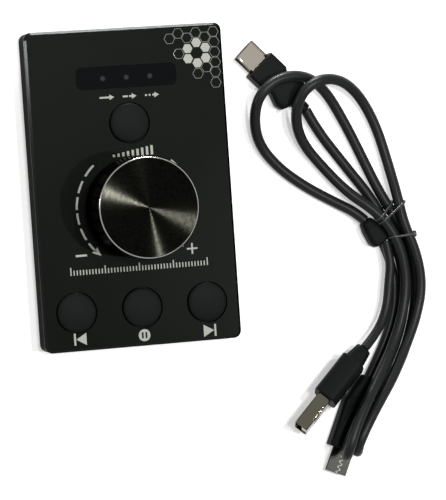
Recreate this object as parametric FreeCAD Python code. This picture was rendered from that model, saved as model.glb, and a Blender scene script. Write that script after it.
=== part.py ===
import FreeCAD, Part
import math
import os

# USB volume control knob with its tied lead.
# Frame: millimetres, origin on the table under the middle of the case, +X to the right of the face,
# +Y to the end with the lamp window and the socket, +Z up.

V = FreeCAD.Vector
UP = V(0, 0, 1)

# ---------------------------------------------------------------- case
case_width = 62.0
case_length = 98.0
case_corner = 2.4
housing_wall = 2.0
housing_foot_chamfer = 1.2
housing_inner_corner = 1.0
plate_thickness = 1.6
plate_bevel = 0.75
locating_lip_height = 0.8
locating_lip_wall = 1.2
locating_lip_share = 0.5
cover_thickness = 1.2
cover_gap = 0.2
foot_radius = 4.0
foot_height = 0.9
foot_rounding = 0.3
foot_pocket = 0.3
foot_pocket_gap = 0.05
foot_inset_x = 9.0
foot_inset_y = 11.0

# ---------------------------------------------------------------- case screws and posts
screw_inset = 4.4
screw_shank_radius = 0.98
screw_hole_radius = 1.1
screw_thread_gap = 0.02
screw_head_radius = 1.9
screw_head_height = 1.0
screw_cross_width = 0.5
screw_cross_depth = 0.5
post_radius = 2.5
post_blind_end = 1.0
screw_end_gap = 0.4
spacer_radius = 2.0
spacer_height = 1.0

# ---------------------------------------------------------------- board and what it carries
board_thickness = 1.2
switch_side = 6.0
switch_height = 3.5
switch_pocket_depth = 1.6
plunger_radius = 1.75
plunger_gap = 0.05
plunger_seat = 0.9
lamp_length = 1.6
lamp_width = 0.8
lamp_height = 0.7
guide_radius = 0.85
guide_bar_width = 2.4
guide_bar_height = 0.8
guide_bar_end = 1.6
chip_length = 6.5
chip_width = 4.4
chip_height = 1.0
chip_lift = 0.1
chip_leg_count = 10
chip_leg_pitch = 0.6
chip_leg_width = 0.25
chip_leg_thickness = 0.15
chip_leg_reach = 0.8
chip_inset = 14.8
chip_shift = 2.3
crystal_size = (3.2, 2.5, 0.8)
crystal_gap = 2.25
small_part_size = (1.0, 0.5, 0.5)
small_part_pitch = 2.2
small_part_count = 8
small_part_inset = 5.4
capacitor_shift = -4.2
resistor_shift = -9.7

# ---------------------------------------------------------------- round keys
key_radius = 6.0
key_hole_gap = 0.45
key_flange_overlap = 0.45
key_flange_height = 0.8
key_flange_gap = 0.2
key_switch_gap = 0.8
key_rim_height = 0.7
key_dome_height = 0.5
key_rim_round = 0.3
key_hollow_inner = 2.3
key_hollow_outer = 5.2
key_hollow_depth = 2.0
key_row_inset = 11.9
key_side_inset = 10.4
top_key_shift = -0.35

# ---------------------------------------------------------------- lamp window
window_length = 31.2
window_width = 6.6
window_corner = 1.8
window_gap = 0.1
window_inset = 15.0
window_flange = 1.0
window_flange_height = 0.7
lamp_pitch = 7.4
lamp_shift = -0.25

# ---------------------------------------------------------------- knob and encoder
knob_y = -6.2
knob_radius = 15.6
knob_height = 18.5
knob_foot_gap = 0.4
knob_top_chamfer = 0.6
knob_foot_chamfer = 0.4
knob_skirt_wall = 2.8
knob_ceiling_gap = 0.7
shaft_radius = 3.0
shaft_running_gap = 0.05
shaft_seat_gap = 0.02
shaft_flat_depth = 1.5
shaft_top_below_knob = 4.7
shaft_bore_end_gap = 1.0
bush_radius = 3.5
bush_thread_end = 1.0
bush_hole_gap = 0.1
encoder_side_x = 12.0
encoder_side_y = 12.5
encoder_floor = 0.6
push_plunger_radius = 2.4
push_plunger_height = 0.6
push_travel_room = 0.6
encoder_pin_radius = 0.4
encoder_pin_gap = 0.1
encoder_pin_below_board = 0.5
encoder_pin_places = ((-2.5, -5.2), (0.0, -5.2), (2.5, -5.2), (-2.5, 5.2), (2.5, 5.2))
washer_radius = 5.8
washer_thickness = 0.5
nut_across_flats = 10.0
nut_height = 2.0
nut_thread_gap = 0.02
set_screw_radius = 1.48
set_screw_thread_gap = 0.02
set_screw_length = 5.0
set_screw_socket_radius = 0.75
set_screw_socket_depth = 1.5

# ---------------------------------------------------------------- USB-C socket in the rear wall
socket_width = 8.94
socket_height = 3.16
socket_depth = 7.35
socket_wall = 0.3
socket_corner = 1.4
socket_back = 0.8
socket_recess = 0.1
socket_opening_gap = 0.2
socket_tongue_width = 6.69
socket_tongue_thickness = 0.7
socket_tongue_length = 4.4
socket_contact_count = 8
socket_contact_pitch = 0.75
socket_contact_width = 0.3
socket_contact_thickness = 0.05
socket_contact_length = 2.6

# ---------------------------------------------------------------- lead: cords
cord_diameter = 3.4
tail_diameter = 3.0

# ---------------------------------------------------------------- lead: USB-C plug
c_plug_front = (44.3, 35.4)
c_plug_heading = -46.5
c_plug_height = 6.4
c_plug_width = 10.4
c_plug_corner = 2.0
c_plug_head_length = 6.3
c_plug_waist = (9.0, 8.9, 6.2)
c_plug_swell = (13.6, 10.6, 6.1)
c_plug_shoulder = (15.3, 9.9, 5.8)
c_plug_rear = (17.0, 6.1, 4.6)
c_plug_neck_wall = 0.2
c_plug_neck_length = 4.0
c_shell_width = 8.25
c_shell_height = 2.4
c_shell_length = 6.65
c_shell_wall = 0.25
c_insert_slot_width = 6.95
c_insert_slot_height = 0.9
c_insert_recess = 0.6
c_insert_floor = 1.0
c_contact_count = 8
c_contact_pitch = 0.75
c_contact_size = (3.2, 0.3, 0.05)

# ---------------------------------------------------------------- lead: USB-A plug
a_plug_front = (57.0, -70.8)
a_plug_heading = 46.0
a_plug_lean = -19.5
a_plug_axis_height = 8.2
a_plug_width = 7.2
a_plug_height = 15.0
a_plug_corner = 1.4
a_plug_edge = 0.4
a_plug_length = 14.5
a_plug_neck_width = 5.4
a_plug_neck_height = 5.8
a_plug_neck_corner = 2.1
a_plug_neck_wall = 0.6
a_plug_neck_length = 6.1
a_shell_thickness = 4.5
a_shell_width = 12.0
a_shell_length = 12.0
a_shell_wall = 0.3
a_shell_corner = 0.5
a_window_side = 2.4
a_window_spread = 3.1
a_window_from_tip = 5.4
a_tongue_thickness = 1.9
a_tongue_width = 11.0
a_tongue_recess = 0.6
a_contact_count = 4
a_contact_pitch = 2.3
a_contact_size = (7.6, 1.0, 0.15)

# ---------------------------------------------------------------- lead: micro plug
micro_plug_front = (63.5, -87.9)
micro_plug_heading = 66.4
micro_plug_width = 10.4
micro_plug_height = 6.2
micro_plug_corner = 1.4
micro_plug_edge = 0.4
micro_plug_shoulder = 1.5
micro_plug_length = 16.6
micro_plug_neck_wall = 0.4
micro_plug_neck_swell = 0.4
micro_plug_neck_length = 4.8
micro_shell_width = 6.85
micro_shell_floor_width = 5.4
micro_shell_height = 1.8
micro_shell_length = 7.8
micro_shell_wall = 0.2
micro_tongue_width = 4.8
micro_tongue_thickness = 0.5
micro_tongue_recess = 0.5
micro_contact_count = 5
micro_contact_pitch = 0.65
micro_contact_size = (3.4, 0.3, 0.05)

# ---------------------------------------------------------------- lead: splitter
splitter_start = (75.3, -18.25)
splitter_end = (80.0, -23.75)
splitter_width = 5.8
splitter_height = 6.4
splitter_corner = 2.0
splitter_taper = 0.75
splitter_taper_length = 1.5
splitter_axis_height = 3.3
splitter_upper_exit = 4.9
splitter_lower_exit = 1.7

# ---------------------------------------------------------------- lead: wire tie
tie_wire_radius = 0.4
# Each turn of the tie: a point on it, its heading, how far it reaches to both sides, low and high.
tie_turns = (
    ((84.1, -14.5), 40.0, -5.6, 6.7, 0.45, 8.8),
    ((85.4, -15.7), 36.0, -5.95, 5.25, 0.45, 8.85),
    ((87.7, -21.4), 4.0, -5.7, 3.5, 0.45, 8.7))
tie_corner = 1.9
tie_twist_radius = 0.7
tie_twist_length = 2.6

# ---------------------------------------------------------------- lead: the way of each cord
# The main cord runs from the USB-C plug to the tie, along the table to the first fold, back over the
# micro plug, round the inner loop, back through the tie to the second fold, and round the outer loop
# into the splitter.
main_route = [
    (63.5, 14.6, 2.5), (71.0, 3.6, 1.8), (79.0, -9.0, 2.3), (83.0, -17.5, 2.8), (86.3, -25.5, 2.4),
    (88.0, -34.5, 1.9), (87.6, -43.5, 1.8), (84.8, -53.0, 2.2), (79.8, -61.5, 4.8), (74.2, -68.5, 7.7),
    (69.6, -75.0, 8.9), (66.0, -81.2, 8.8),
    (63.4, -86.6, 8.7), (62.3, -89.1, 11.1), (61.3, -88.9, 14.2), (61.7, -86.4, 16.7), (64.0, -80.5, 16.5),
    (69.0, -72.5, 14.4), (75.5, -64.5, 10.3), (81.5, -55.5, 6.8), (85.6, -46.5, 5.5), (87.5, -36.5, 5.4),
    (86.5, -27.0, 6.2), (83.0, -18.5, 6.8), (78.0, -12.3, 6.2),
    (70.5, -6.5, 3.8), (63.0, 1.5, 2.2), (56.5, 10.0, 3.6), (54.0, 18.0, 7.0), (55.5, 25.2, 9.9),
    (61.0, 29.3, 10.8), (68.5, 28.8, 8.2), (75.3, 23.6, 4.2), (80.6, 14.0, 2.5), (84.4, 2.0, 2.9),
    (87.0, -9.5, 5.5), (88.0, -18.0, 6.8), (90.5, -27.0, 6.2), (91.5, -37.5, 5.4), (89.6, -47.5, 5.4),
    (85.5, -56.5, 6.8), (79.8, -65.3, 10.0), (73.3, -73.5, 13.9), (68.6, -80.0, 15.7),
    (65.8, -85.0, 15.9), (65.3, -87.3, 13.5), (66.4, -87.6, 10.5), (68.3, -85.6, 8.2), (71.2, -80.5, 8.3),
    (75.1, -74.9, 8.1), (79.0, -68.5, 6.4), (84.3, -61.3, 3.6), (88.7, -53.0, 1.9), (91.2, -44.0, 1.8),
    (92.0, -34.5, 1.9), (90.6, -26.0, 2.4), (87.5, -17.0, 2.8), (84.0, -7.5, 2.5), (79.3, 2.5, 2.0),
    (72.8, 14.5, 2.2), (65.5, 26.0, 3.9), (58.0, 31.0, 8.1), (49.5, 31.0, 9.3), (43.0, 26.5, 9.2),
    (41.0, 19.5, 6.4), (42.5, 11.0, 3.2), (48.5, 3.0, 2.0), (57.2, -4.3, 1.8), (66.3, -11.2, 2.0)]
usb_a_route = [
    (82.0, -29.5, 4.9), (82.5, -35.5, 4.8), (81.2, -42.3, 4.8), (78.3, -48.2, 5.6), (74.5, -52.9, 7.3)]
micro_route = [
    (83.1, -29.5, 1.6), (84.2, -36.0, 1.6), (83.7, -42.5, 1.6), (82.0, -48.9, 1.6), (79.3, -55.0, 1.6),
    (76.4, -60.0, 2.0), (73.9, -64.3, 2.8)]

# ---------------------------------------------------------------- levels that follow
z_bottom = foot_height
z_cover_top = z_bottom + cover_thickness
z_board = z_cover_top + spacer_height
z_parts = z_board + board_thickness
z_key_foot = z_parts + switch_height + key_switch_gap
z_plate = z_key_foot + key_flange_height + key_flange_gap
z_face = z_plate + plate_thickness
z_bush_top = z_face + washer_thickness + nut_height + bush_thread_end
z_push_floor = z_parts + encoder_floor
z_push_plunger = z_push_floor + push_travel_room
z_shaft = z_push_plunger + push_plunger_height
z_knob = z_face + push_travel_room + knob_foot_gap
z_knob_ceiling = z_bush_top + push_travel_room + knob_ceiling_gap
z_knob_top = z_knob + knob_height
z_shaft_top = z_knob_top - shaft_top_below_knob

# ---------------------------------------------------------------- places that follow
half_width = case_width / 2
half_length = case_length / 2
cover_half_width = half_width - housing_wall - cover_gap
cover_half_length = half_length - housing_wall - cover_gap
screw_x = half_width - screw_inset
screw_y = half_length - screw_inset
corners = [(sx * screw_x, sy * screw_y) for sx in (-1, 1) for sy in (-1, 1)]
window_y = half_length - window_inset
lamp_places = [(i * lamp_pitch, window_y + lamp_shift) for i in (-1, 0, 1)]
key_row_x = half_width - key_side_inset
key_row_y = key_row_inset - half_length
top_key_y = (knob_y + knob_radius + window_y - window_width / 2) / 2 + top_key_shift
key_places = {
    "previous_key": (-key_row_x, key_row_y),
    "pause_key": (0.0, key_row_y),
    "next_key": (key_row_x, key_row_y),
    "top_key": (0.0, top_key_y),
}
chip_place = (cover_half_width - chip_inset, top_key_y + chip_shift)
chip_rear = chip_place[1] + chip_width / 2 + chip_leg_reach
crystal_place = (chip_place[0], chip_rear + crystal_gap + crystal_size[1] / 2)


# ---------------------------------------------------------------- drawing helpers
def outline(width, length, corner, z=0.0, cx=0.0, cy=0.0):
    """Closed rounded rectangle in a level plane."""
    r = min(corner, 0.49 * min(width, length))
    x = width / 2 - r
    y = length / 2 - r
    q = r * math.sqrt(0.5)
    edges = []
    centres = ((x, y, 1, 1), (-x, y, -1, 1), (-x, -y, -1, -1), (x, -y, 1, -1))
    for i, (px, py, sx, sy) in enumerate(centres):
        first, last = (V(px + sx * r, py), V(px, py + sy * r))
        if i % 2:
            first, last = last, first
        middle = V(px + sx * q, py + sy * q)
        edges.append(Part.Arc(first, middle, last).toShape())
        nx, ny, tx, ty = centres[(i + 1) % 4]
        follow = V(nx, ny + ty * r) if i % 2 == 0 else V(nx + tx * r, ny)
        edges.append(Part.LineSegment(last, follow).toShape())
    wire = Part.Wire(edges)
    wire.translate(V(cx, cy, z))
    return wire


def slab(width, length, corner, z0, z1, cx=0.0, cy=0.0):
    """Rounded rectangle raised from z0 to z1."""
    face = Part.Face(outline(width, length, corner, z0, cx, cy))
    return face.extrude(V(0, 0, z1 - z0))


def box(cx, cy, z0, size_x, size_y, size_z):
    """Plain block standing on z0, centred on cx, cy."""
    return Part.makeBox(size_x, size_y, size_z, V(cx - size_x / 2, cy - size_y / 2, z0))


def rod(cx, cy, z0, z1, radius):
    """Upright round bar."""
    return Part.makeCylinder(radius, z1 - z0, V(cx, cy, z0))


def turned(profile, cx, cy):
    """Solid of revolution about the upright line through cx, cy, from closed edges in the XZ plane."""
    solid = Part.Face(Part.Wire(profile)).revolve(V(0, 0, 0), UP, 360)
    solid.translate(V(cx, cy, 0))
    return solid


def polyline(points):
    """Closed run of straight edges in the XZ plane through (radius, height) pairs."""
    ring = [V(r, 0, z) for r, z in points]
    return [Part.LineSegment(a, b).toShape() for a, b in zip(ring, ring[1:] + ring[:1])]


def edges_at(shape, z):
    """Edges that lie level at height z."""
    return [e for e in shape.Edges if abs(e.BoundBox.ZMin - z) < 1e-6 and abs(e.BoundBox.ZMax - z) < 1e-6]


def save(name, shape):
    """One file per piece; every body in it has to be sound."""
    parts = shape if isinstance(shape, list) else [shape]
    solids = [s for p in parts for s in p.Solids]
    if not all(s.isValid() for s in solids):
        raise ValueError(name)
    result = solids[0] if len(solids) == 1 else Part.makeCompound(solids)
    result.exportStep("parts/%s.step" % name)


# ---------------------------------------------------------------- case
def housing():
    """Open frame of the case with a screw post in each corner."""
    body = slab(case_width, case_length, case_corner, z_bottom, z_plate)
    body = body.makeChamfer(housing_foot_chamfer, edges_at(body, z_bottom))
    inner_width = case_width - 2 * housing_wall
    inner_length = case_length - 2 * housing_wall
    body = body.cut(slab(inner_width, inner_length, housing_inner_corner, z_bottom, z_plate))
    room = slab(case_width, case_length, case_corner, z_parts, z_plate)
    for x, y in corners:
        body = body.fuse(rod(x, y, z_parts, z_plate, post_radius).common(room))
    for x, y in corners:
        bore = screw_shank_radius + screw_thread_gap
        body = body.cut(rod(x, y, z_parts, z_plate - post_blind_end, bore))
    return body.cut(socket_opening()).removeSplitter()


def socket_opening():
    """Rounded hole for the socket, right through the rear wall."""
    width = socket_width + 2 * socket_opening_gap
    height = socket_height + 2 * socket_opening_gap
    hole = slab(width, height, socket_corner + socket_opening_gap, 0, housing_wall + 2)
    hole.rotate(V(0, 0, 0), V(1, 0, 0), 90)
    hole.translate(V(0, half_length + 1, z_parts + socket_height / 2))
    return hole


def base_cover():
    """Bottom plate with spacers that carry the board, countersinks and pockets for the feet."""
    cover = slab(2 * cover_half_width, 2 * cover_half_length, housing_inner_corner, z_bottom, z_cover_top)
    for x, y in corners:
        cover = cover.fuse(rod(x, y, z_cover_top, z_board, spacer_radius))
    for x, y in corners:
        cover = cover.cut(rod(x, y, z_bottom, z_board, screw_hole_radius))
        cover = cover.cut(countersink(x, y, screw_thread_gap))
    for x, y in foot_places():
        cover = cover.cut(rod(x, y, z_bottom, z_bottom + foot_pocket, foot_radius + foot_pocket_gap))
    return cover


def countersink(x, y, gap):
    """Cone of a countersunk head, wider than the head by the gap."""
    return Part.makeCone(screw_head_radius + gap, screw_shank_radius + gap, screw_head_height,
                         V(x, y, z_bottom))


def foot_places():
    """Centres of the four feet."""
    x = half_width - foot_inset_x
    y = half_length - foot_inset_y
    return [(sx * x, sy * y) for sx in (-1, 1) for sy in (-1, 1)]


def foot(x, y):
    """Round rubber foot with a rounded lower edge, glued into its pocket."""
    pad = rod(x, y, 0, z_bottom + foot_pocket, foot_radius)
    return pad.makeFillet(foot_rounding, edges_at(pad, 0))


def case_screws():
    """Four countersunk screws from the cover, through the board, into the posts."""
    screws = []
    for x, y in corners:
        end = z_plate - post_blind_end - screw_end_gap
        screw = countersink(x, y, 0).fuse(rod(x, y, z_bottom, end, screw_shank_radius))
        for turn in (0, 90):
            slot = Part.makeBox(1.3 * screw_head_radius, screw_cross_width, screw_cross_depth)
            slot.translate(V(-0.65 * screw_head_radius, -screw_cross_width / 2, 0))
            slot.rotate(V(0, 0, 0), UP, turn)
            slot.translate(V(x, y, z_bottom))
            screw = screw.cut(slot)
        screws.append(screw.removeSplitter())
    return screws


def face_plate():
    """Bevelled plate with holes for the keys, the bush and the window, and locating lips below."""
    plate = slab(case_width, case_length, case_corner, z_plate, z_face)
    plate = plate.makeChamfer(plate_bevel, edges_at(plate, z_face))
    lip_z = z_plate - locating_lip_height
    for side in (-1, 1):
        x = side * (cover_half_width - locating_lip_wall / 2)
        y = side * (cover_half_length - locating_lip_wall / 2)
        long_lip = box(x, 0, lip_z, locating_lip_wall, case_length * locating_lip_share, locating_lip_height)
        short_lip = box(0, y, lip_z, case_width * locating_lip_share, locating_lip_wall, locating_lip_height)
        plate = plate.fuse(long_lip).fuse(short_lip)
    for x, y in key_places.values():
        plate = plate.cut(rod(x, y, z_plate, z_face, key_radius + key_hole_gap))
    plate = plate.cut(rod(0, knob_y, z_plate, z_face, bush_radius + bush_hole_gap))
    opening = slab(window_length + 2 * window_gap, window_width + 2 * window_gap, window_corner + window_gap,
                   z_plate, z_face, 0, window_y)
    return plate.cut(opening).removeSplitter()


def lamp_window():
    """Smoked window, flush with the face, with a flange behind the plate."""
    pane = slab(window_length, window_width, window_corner, z_plate, z_face, 0, window_y)
    flange = slab(window_length + 2 * window_flange, window_width + 2 * window_flange,
                  window_corner + window_flange, z_plate - window_flange_height, z_plate, 0, window_y)
    return pane.fuse(flange).removeSplitter()


# ---------------------------------------------------------------- board
def main_board():
    """Board between the spacers and the posts, drilled for the screws and the encoder pins."""
    board = slab(2 * cover_half_width, 2 * cover_half_length, housing_inner_corner, z_board, z_parts)
    for x, y in corners:
        board = board.cut(rod(x, y, z_board, z_parts, screw_hole_radius))
    for dx, dy in encoder_pin_places:
        board = board.cut(rod(dx, knob_y + dy, z_board, z_parts, encoder_pin_radius + encoder_pin_gap))
    return board


def lamps():
    """Three small lamps in a row."""
    return [box(x, y, z_parts, lamp_length, lamp_width, lamp_height) for x, y in lamp_places]


def light_guide():
    """Clear bar with a post standing on each lamp, ending just under the window."""
    top = z_plate - window_flange_height
    bar = slab(2 * (lamp_pitch + guide_bar_end), guide_bar_width, guide_bar_width / 2,
               top - guide_bar_height, top, 0, window_y + lamp_shift)
    for x, y in lamp_places:
        bar = bar.fuse(rod(x, y, z_parts + lamp_height, top, guide_radius))
    return bar.removeSplitter()


def controller_chip():
    """Flat chip on bent legs."""
    x, y = chip_place
    chip = box(x, y, z_parts + chip_lift, chip_length, chip_width, chip_height)
    leg_top = z_parts + chip_lift + 0.6 * chip_height
    for i in range(chip_leg_count):
        leg_x = x + (i - (chip_leg_count - 1) / 2) * chip_leg_pitch
        for side in (-1, 1):
            root = y + side * chip_width / 2
            bend = root + side * chip_leg_reach / 2
            upright = box(leg_x, bend - side * chip_leg_thickness / 2, z_parts, chip_leg_width,
                          chip_leg_thickness, leg_top - z_parts)
            shoulder = box(leg_x, (root + bend) / 2, leg_top - chip_leg_thickness, chip_leg_width,
                           chip_leg_reach / 2, chip_leg_thickness)
            sole = box(leg_x, bend + side * chip_leg_reach / 4, z_parts, chip_leg_width,
                       chip_leg_reach / 2, chip_leg_thickness)
            chip = chip.fuse([upright, shoulder, sole])
    return chip.removeSplitter()


def part_row(side, y):
    """A row of small chip parts that ends an inset away from the board's edge."""
    length, width, height = small_part_size
    edge = cover_half_width - small_part_inset
    return [box(side * (edge - i * small_part_pitch), y, z_parts, length, width, height)
            for i in range(small_part_count)]


# ---------------------------------------------------------------- keys
def key_cap(x, y):
    """Domed round cap with a flange that stays behind the plate, hollow round a central pusher."""
    rim = z_face + key_rim_height
    top = rim + key_dome_height
    flange = key_radius + key_hole_gap + key_flange_overlap
    shoulder = z_key_foot + key_flange_height
    inner = key_radius - key_rim_round
    dome_radius = (inner ** 2 + key_dome_height ** 2) / (2 * key_dome_height)
    dome_mid = V(inner / 2, 0, top - dome_radius + math.sqrt(dome_radius ** 2 - inner ** 2 / 4))
    walls = [V(0, 0, z_key_foot), V(flange, 0, z_key_foot), V(flange, 0, shoulder),
             V(key_radius, 0, shoulder), V(key_radius, 0, rim - key_rim_round), V(inner, 0, rim)]
    edges = [Part.LineSegment(a, b).toShape() for a, b in zip(walls, walls[1:])]
    edges.append(Part.Arc(V(inner, 0, rim), dome_mid, V(0, 0, top)).toShape())
    edges.append(Part.LineSegment(V(0, 0, top), V(0, 0, z_key_foot)).toShape())
    cap = turned(edges, x, y)
    hollow = rod(x, y, z_key_foot, z_key_foot + key_hollow_depth, key_hollow_outer)
    hollow = hollow.cut(rod(x, y, z_key_foot, z_key_foot + key_hollow_depth, key_hollow_inner))
    return cap.cut(hollow)


def key_switch(x, y):
    """Body of a tact switch with a round pocket for its plunger."""
    top = z_parts + switch_height
    body = box(x, y, z_parts, switch_side, switch_side, switch_height)
    return body.cut(rod(x, y, top - switch_pocket_depth, top, plunger_radius + plunger_gap))


def key_plunger(x, y):
    """Plunger that stands in the switch and carries the key."""
    return rod(x, y, z_parts + switch_height - plunger_seat, z_key_foot, plunger_radius)


# ---------------------------------------------------------------- encoder and knob
def encoder_body():
    """Square can with a threaded bush, bored for the shaft."""
    can = box(0, knob_y, z_parts, encoder_side_x, encoder_side_y, z_plate - z_parts)
    can = can.fuse(rod(0, knob_y, z_plate, z_bush_top, bush_radius))
    return can.cut(rod(0, knob_y, z_push_floor, z_bush_top, shaft_radius + shaft_running_gap))


def encoder_pins():
    """Pins from the can through the board."""
    return [rod(dx, knob_y + dy, z_board - encoder_pin_below_board, z_parts, encoder_pin_radius)
            for dx, dy in encoder_pin_places]


def encoder_shaft():
    """Round shaft with a flat where the knob is clamped."""
    shaft = rod(0, knob_y, z_shaft, z_shaft_top, shaft_radius)
    flat = box(0, knob_y + shaft_radius, z_knob_ceiling, 2 * shaft_radius, 2 * shaft_flat_depth,
               z_shaft_top - z_knob_ceiling)
    return shaft.cut(flat)


def push_plunger():
    """Disc under the shaft that works the push switch."""
    return rod(0, knob_y, z_push_plunger, z_shaft, push_plunger_radius)


def washer():
    """Washer between the plate and the nut."""
    ring = rod(0, knob_y, z_face, z_face + washer_thickness, washer_radius)
    return ring.cut(rod(0, knob_y, z_face, z_face + washer_thickness, bush_radius + bush_hole_gap))


def nut():
    """Hexagon nut on the bush."""
    z0 = z_face + washer_thickness
    reach = nut_across_flats / math.sqrt(3)
    points = [V(reach * math.cos(math.radians(60 * i)), knob_y + reach * math.sin(math.radians(60 * i)), z0)
              for i in range(7)]
    hexagon = Part.Face(Part.makePolygon(points)).extrude(V(0, 0, nut_height))
    return hexagon.cut(rod(0, knob_y, z0, z0 + nut_height, bush_radius + nut_thread_gap))


def knob():
    """Turned knob, hollow below over the nut, bored for the shaft and drilled for its set screw."""
    recess = knob_radius - knob_skirt_wall
    bore_top = z_shaft_top + shaft_bore_end_gap
    bore = shaft_radius + shaft_seat_gap
    profile = [(0, bore_top), (bore, bore_top), (bore, z_knob_ceiling), (recess, z_knob_ceiling),
               (recess, z_knob), (knob_radius - knob_foot_chamfer, z_knob),
               (knob_radius, z_knob + knob_foot_chamfer), (knob_radius, z_knob_top - knob_top_chamfer),
               (knob_radius - knob_top_chamfer, z_knob_top), (0, z_knob_top)]
    body = turned(polyline(profile), 0, knob_y)
    hole = Part.makeCylinder(set_screw_radius + set_screw_thread_gap, knob_radius,
                             V(0, knob_y, set_screw_height()), V(0, 1, 0))
    return body.cut(hole)


def set_screw_height():
    """Middle of the stretch of shaft that the knob grips."""
    return (z_knob_ceiling + z_shaft_top) / 2


def knob_set_screw():
    """Grub screw that bears on the flat of the shaft."""
    start = V(0, knob_y + shaft_radius - shaft_flat_depth, set_screw_height())
    screw = Part.makeCylinder(set_screw_radius, set_screw_length, start, V(0, 1, 0))
    mouth = start + V(0, set_screw_length - set_screw_socket_depth, 0)
    return screw.cut(Part.makeCylinder(set_screw_socket_radius, set_screw_socket_depth, mouth, V(0, 1, 0)))


# ---------------------------------------------------------------- USB-C socket
def in_rear_wall(shape):
    """Turn a piece drawn upright so that it looks out of the rear wall, on the board."""
    shape.rotate(V(0, 0, 0), V(1, 0, 0), -90)
    shape.translate(V(0, half_length - socket_recess, z_parts + socket_height / 2))
    return shape


def usb_socket_shell():
    """Rounded steel tube, closed at the back."""
    outer = slab(socket_width, socket_height, socket_corner, -socket_depth, 0)
    inner = slab(socket_width - 2 * socket_wall, socket_height - 2 * socket_wall,
                 socket_corner - socket_wall, -socket_depth + socket_wall, 0)
    return in_rear_wall(outer.cut(inner))


def usb_socket_tongue():
    """Plastic back wall with the thin tongue that enters the plug."""
    inner_width = socket_width - 2 * socket_wall
    inner_height = socket_height - 2 * socket_wall
    floor = -socket_depth + socket_wall
    block = slab(inner_width, inner_height, socket_corner - socket_wall, floor, floor + socket_back)
    tongue = slab(socket_tongue_width, socket_tongue_thickness, 0.2, floor,
                  floor + socket_back + socket_tongue_length)
    return in_rear_wall(block.fuse(tongue).removeSplitter())


def usb_socket_contacts():
    """Gold strips on both faces of the tongue."""
    strips = []
    floor = -socket_depth + socket_wall + socket_back
    for i in range(socket_contact_count):
        x = (i - (socket_contact_count - 1) / 2) * socket_contact_pitch
        for side in (-1, 1):
            y = side * (socket_tongue_thickness + socket_contact_thickness) / 2
            strips.append(in_rear_wall(box(x, y, floor, socket_contact_width, socket_contact_thickness,
                                           socket_contact_length)))
    return strips


# ---------------------------------------------------------------- plugs
def stack(sections):
    """Solid through rounded rectangles; each section is (place along the axis, width, height, corner)."""
    wires = []
    for place, width, height, corner in sections:
        wire = outline(width, height, corner)
        wire.rotate(V(0, 0, 0), V(1, 0, 0), 90)
        wire.rotate(V(0, 0, 0), UP, 90)
        wire.translate(V(place, 0, 0))
        wires.append(wire)
    return Part.makeLoft(wires, True, True)


def bar_along(start, end, width, height, corner):
    """Rounded bar along the plug's axis."""
    return stack([(start, width, height, corner), (end, width, height, corner)])


def laid(shape, front, heading, lean, axis_height):
    """Put a plug, drawn with its front face at the origin and its cord end along +X, on the table."""
    shape.rotate(V(0, 0, 0), V(1, 0, 0), lean)
    shape.rotate(V(0, 0, 0), UP, heading)
    shape.translate(V(front[0], front[1], axis_height))
    return shape


def on_axis(front, heading, reach, height):
    """Point on a plug's axis, a given reach behind its front face."""
    angle = math.radians(heading)
    return V(front[0] + reach * math.cos(angle), front[1] + reach * math.sin(angle), height)


def lay_c(shape):
    """Place for the pieces of the USB-C plug, flat on the table."""
    return laid(shape, c_plug_front, c_plug_heading, 0, c_plug_height / 2)


def lay_a(shape):
    """Place for the pieces of the USB-A plug, on its edge and leaning."""
    return laid(shape, a_plug_front, a_plug_heading, a_plug_lean, a_plug_axis_height)


def lay_micro(shape):
    """Place for the pieces of the micro plug, flat on the table."""
    return laid(shape, micro_plug_front, micro_plug_heading, 0, micro_plug_height / 2)


def strips_along(count, pitch, size, start, heights):
    """Rows of flat contacts along the plug's axis, at each of the given heights."""
    length, width, thickness = size
    rows = []
    for i in range(count):
        y = (i - (count - 1) / 2) * pitch
        for z in heights:
            rows.append(box(start + length / 2, y, z - thickness / 2, length, width, thickness))
    return rows


def usb_c_plug_moulding():
    """Flat moulding, square at the front, waisted, then swelling before it closes to the neck."""
    sections = [(0, c_plug_width, c_plug_height), (c_plug_head_length, c_plug_width, c_plug_height),
                c_plug_waist, c_plug_swell, c_plug_shoulder, c_plug_rear]
    body = stack([section + (c_plug_corner,) for section in sections])
    rear = Part.makeCylinder(cord_diameter / 2 + c_plug_neck_wall, c_plug_neck_length,
                             V(c_plug_rear[0], 0, 0), V(1, 0, 0))
    return lay_c(body.fuse(rear))


def usb_c_plug_shell():
    """Seamless rounded tube."""
    outer = bar_along(-c_shell_length, 0, c_shell_width, c_shell_height, c_shell_height / 2)
    inner_height = c_shell_height - 2 * c_shell_wall
    inner = bar_along(-c_shell_length, 0, c_shell_width - 2 * c_shell_wall, inner_height, inner_height / 2)
    return lay_c(outer.cut(inner))


def usb_c_plug_insert():
    """Plastic liner with the slot that takes the socket's tongue."""
    height = c_shell_height - 2 * c_shell_wall
    width = c_shell_width - 2 * c_shell_wall
    body = bar_along(-c_shell_length + c_insert_recess, 0, width, height, height / 2)
    slot = bar_along(-c_shell_length + c_insert_recess, -c_insert_floor, c_insert_slot_width,
                     c_insert_slot_height, 0.2)
    return lay_c(body.cut(slot))


def usb_c_plug_contacts():
    """Contacts on both walls of the slot."""
    edge = c_insert_slot_height / 2 - c_contact_size[2] / 2
    start = -c_insert_floor - c_contact_size[0]
    rows = strips_along(c_contact_count, c_contact_pitch, c_contact_size, start, (-edge, edge))
    return [lay_c(strip) for strip in rows]


def eased_block(length, width, height, corner, edge, shoulder):
    """Rounded block whose front edge is eased and whose rear edges slope in over the shoulder."""
    return stack([(0, width - 2 * edge, height - 2 * edge, corner - edge), (edge, width, height, corner),
                  (length - shoulder, width, height, corner),
                  (length, width - 2 * shoulder, height - 2 * edge, corner - edge)])


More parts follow.
